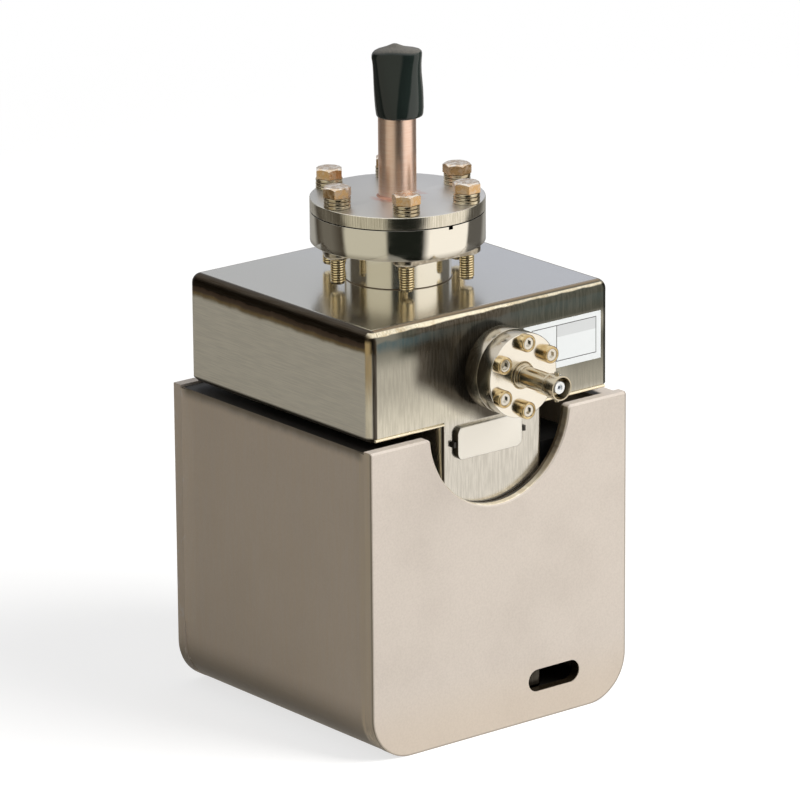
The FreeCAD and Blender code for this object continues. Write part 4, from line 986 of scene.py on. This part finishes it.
yellow = new_material("yellow_screw", shade(0.74, 0.56, 0.29), 0.2, metallic=1.0)
mottle = noise(place_on(yellow), 3.0, detail=2.0).rises(0.3, 0.8)
feed(yellow, Base_Color=mottle.paints(YELLOW_DARK, YELLOW_PALE))
silver = new_material("worn_face", shade(0.76, 0.73, 0.66), 0.24, metallic=1.0)
sleeve = spun([(2.3, 21.6), (3.5, 19.1), (3.5, 22.7, 0.6), (2.6, 22.7, 0.15), (2.3, 22.2)], 48)
heads = ringed(moved(joined(sleeve, rod(2.0, 8.7, 21.0)), HV_BOLT_RADIUS, 0, 0), 6)
make("screw_heads", to_front(turned_to(heads, SCREW_TURN)), yellow, "vessel",
     ["hv_screws"])
face = spun([(0, 20.0), (2.4, 20.0), (2.4, 22.25), (1.7, 22.05, 0.3), (0, 22.05)], 48)
face = carved(face, prism(hexagon(2.6), 21.2, 23.0))
faces = ringed(moved(face, HV_BOLT_RADIUS, 0, 0), 6)
make("screw_sockets", to_front(turned_to(faces, SCREW_TURN)), silver, "vessel")

# Connector shell: nickel-plated, turned barrel with rings at its foot and behind its mouth.
# Two bayonet lugs stick out of the mouth.
CONNECTOR_TIP = 42.1
BARREL_RADIUS = 4.1
MOUTH_RADIUS = 4.9

nickel = new_material("nickel", shade(0.60, 0.53, 0.40), 0.2, metallic=1.0)
shell = spun([
    (3.2, 18.7), (4.95, 18.7), (4.95, 19.9, 0.15), (4.45, 20.1), (4.45, 20.4), (4.7, 20.55),
    (4.7, 21.0, 0.15), (BARREL_RADIUS, 21.3), (BARREL_RADIUS, 34.6), (4.5, 34.9, 0.1), (4.5, 35.5, 0.1),
    (4.2, 35.7), (4.2, 36.2), (MOUTH_RADIUS, 36.7, 0.2), (MOUTH_RADIUS, CONNECTOR_TIP, 0.12),
    (4.3, CONNECTOR_TIP, 0.12), (4.2, 36.9), (3.2, 36.7)], 96)
lugs = ringed(turned_to(rod(0.95, 4.6, 5.9), 90, "Y"), 2)
lugs = moved(turned_to(lugs, 90), 0, 0, CONNECTOR_TIP - 3.0)
make("connector_shell", to_front(joined(shell, lugs)), nickel, "vessel",
     ["hv_connector_shell"])

# Insulator and contact of the connector: white glazed alumina round a plain nickel socket.
# The anode's standoffs are of the same alumina, and the lead is nickel strip.
alumina = new_material("alumina", shade(0.84, 0.85, 0.84), 0.25)
dress(alumina, "hv_insulator", "ceramic_standoffs")
contact = new_material("contact", shade(0.72, 0.75, 0.80), 0.4, metallic=0.5)
dress(contact, "hv_centre_contact", "hv_lead")

# Cathodes: two matt titanium plates that face the anode's open cells.
# The element's brackets hold them, deep in the pocket.
titanium = new_material("titanium", shade(0.36, 0.34, 0.32), 0.5, metallic=1.0)
dress(titanium, "cathode_left", "cathode_right")

# Name plate: a pale satin metal plate with rounded corners and edges, left bare.
# Two dark tabs on the pocket's wall hold it at its ends.
PLATE_LEFT = -18.9
PLATE_RIGHT = 14.0
PLATE_LOW = 114.1
PLATE_HIGH = 127.4
PLATE_THICKNESS = 2.0
CORNER_RADIUS = 3.0
PLATE_FACE = shade(0.88, 0.86, 0.80)
PLATE_END_SHADE = shade(0.10, 0.085, 0.06)

plate_metal = new_material("plate_metal", shade(0.86, 0.84, 0.78), 0.33, metallic=0.85)
spot = place_on(plate_metal)
# Painted shade: the plate's left-facing ends are dark.
feed(plate_metal, Base_Color=(-facing(spot)["X"]).rises(0.3, 0.5).paints(PLATE_FACE, PLATE_END_SHADE),
     Normal=bump(noise(spot, 0.3, (1, 1, 0.05), 2.0) + noise(spot, 2.5), 0.004))
plan = []
for x, z, first in ((PLATE_RIGHT - CORNER_RADIUS, PLATE_HIGH - CORNER_RADIUS, 0),
                    (PLATE_LEFT + CORNER_RADIUS, PLATE_HIGH - CORNER_RADIUS, 90),
                    (PLATE_LEFT + CORNER_RADIUS, PLATE_LOW + CORNER_RADIUS, 180),
                    (PLATE_RIGHT - CORNER_RADIUS, PLATE_LOW + CORNER_RADIUS, 270)):
    for step in range(9):
        turn = math.radians(first + 90 * step / 8)
        plan.append((x + CORNER_RADIUS * math.cos(turn), z + CORNER_RADIUS * math.sin(turn)))
name_plate = prism(plan, 0.0, PLATE_THICKNESS)
front_edges = [edge for edge in name_plate.edges
               if all(vert.co.z > PLATE_THICKNESS - 0.01 for vert in edge.verts)]
name_plate = to_front(rounded(name_plate, front_edges, 0.5), 0)
make("bare_name_plate", name_plate, plate_metal, "vessel", ["name_plate"])
tab_steel = new_material("tab_steel", shade(0.02, 0.016, 0.012), 0.35)
dress(tab_steel, "name_plate_tabs")

# Label: white film, stuck to the chamber's front wall beside the feedthrough.
# It is printed with two empty frames and a grey header only.
FRAME_LINE = 0.32
FRAMES_LOW = 144.0
FRAMES_HIGH = 158.9
FILM_WHITE = shade(0.78, 0.81, 0.82)
HEADER_GREY = shade(0.52, 0.53, 0.54)

film = new_material("label_film", FILM_WHITE, 0.4)
place = split(place_on(film))


def between(value, low, high):
    """1 from low to high, with edges soft over 0.1 mm."""
    return value.rises(low - 0.05, low + 0.05) * value.falls(high - 0.05, high + 0.05)


def framed(left, right):
    outside = between(place["X"], left, right) * between(place["Z"], FRAMES_LOW, FRAMES_HIGH)
    inside = between(place["X"], left + FRAME_LINE, right - FRAME_LINE) * between(
        place["Z"], FRAMES_LOW + FRAME_LINE, FRAMES_HIGH - FRAME_LINE)
    return outside - inside


lines = framed(20.2, 33.1).most(framed(32.8, 53.35))
header = between(place["X"], 33.0, 53.2) * between(place["Z"], 153.9, 158.7)
feed(film, Base_Color=lines.paints((header * 0.55).paints(FILM_WHITE, HEADER_GREY), grey(0.05)))
dress(film, "chamber_label")
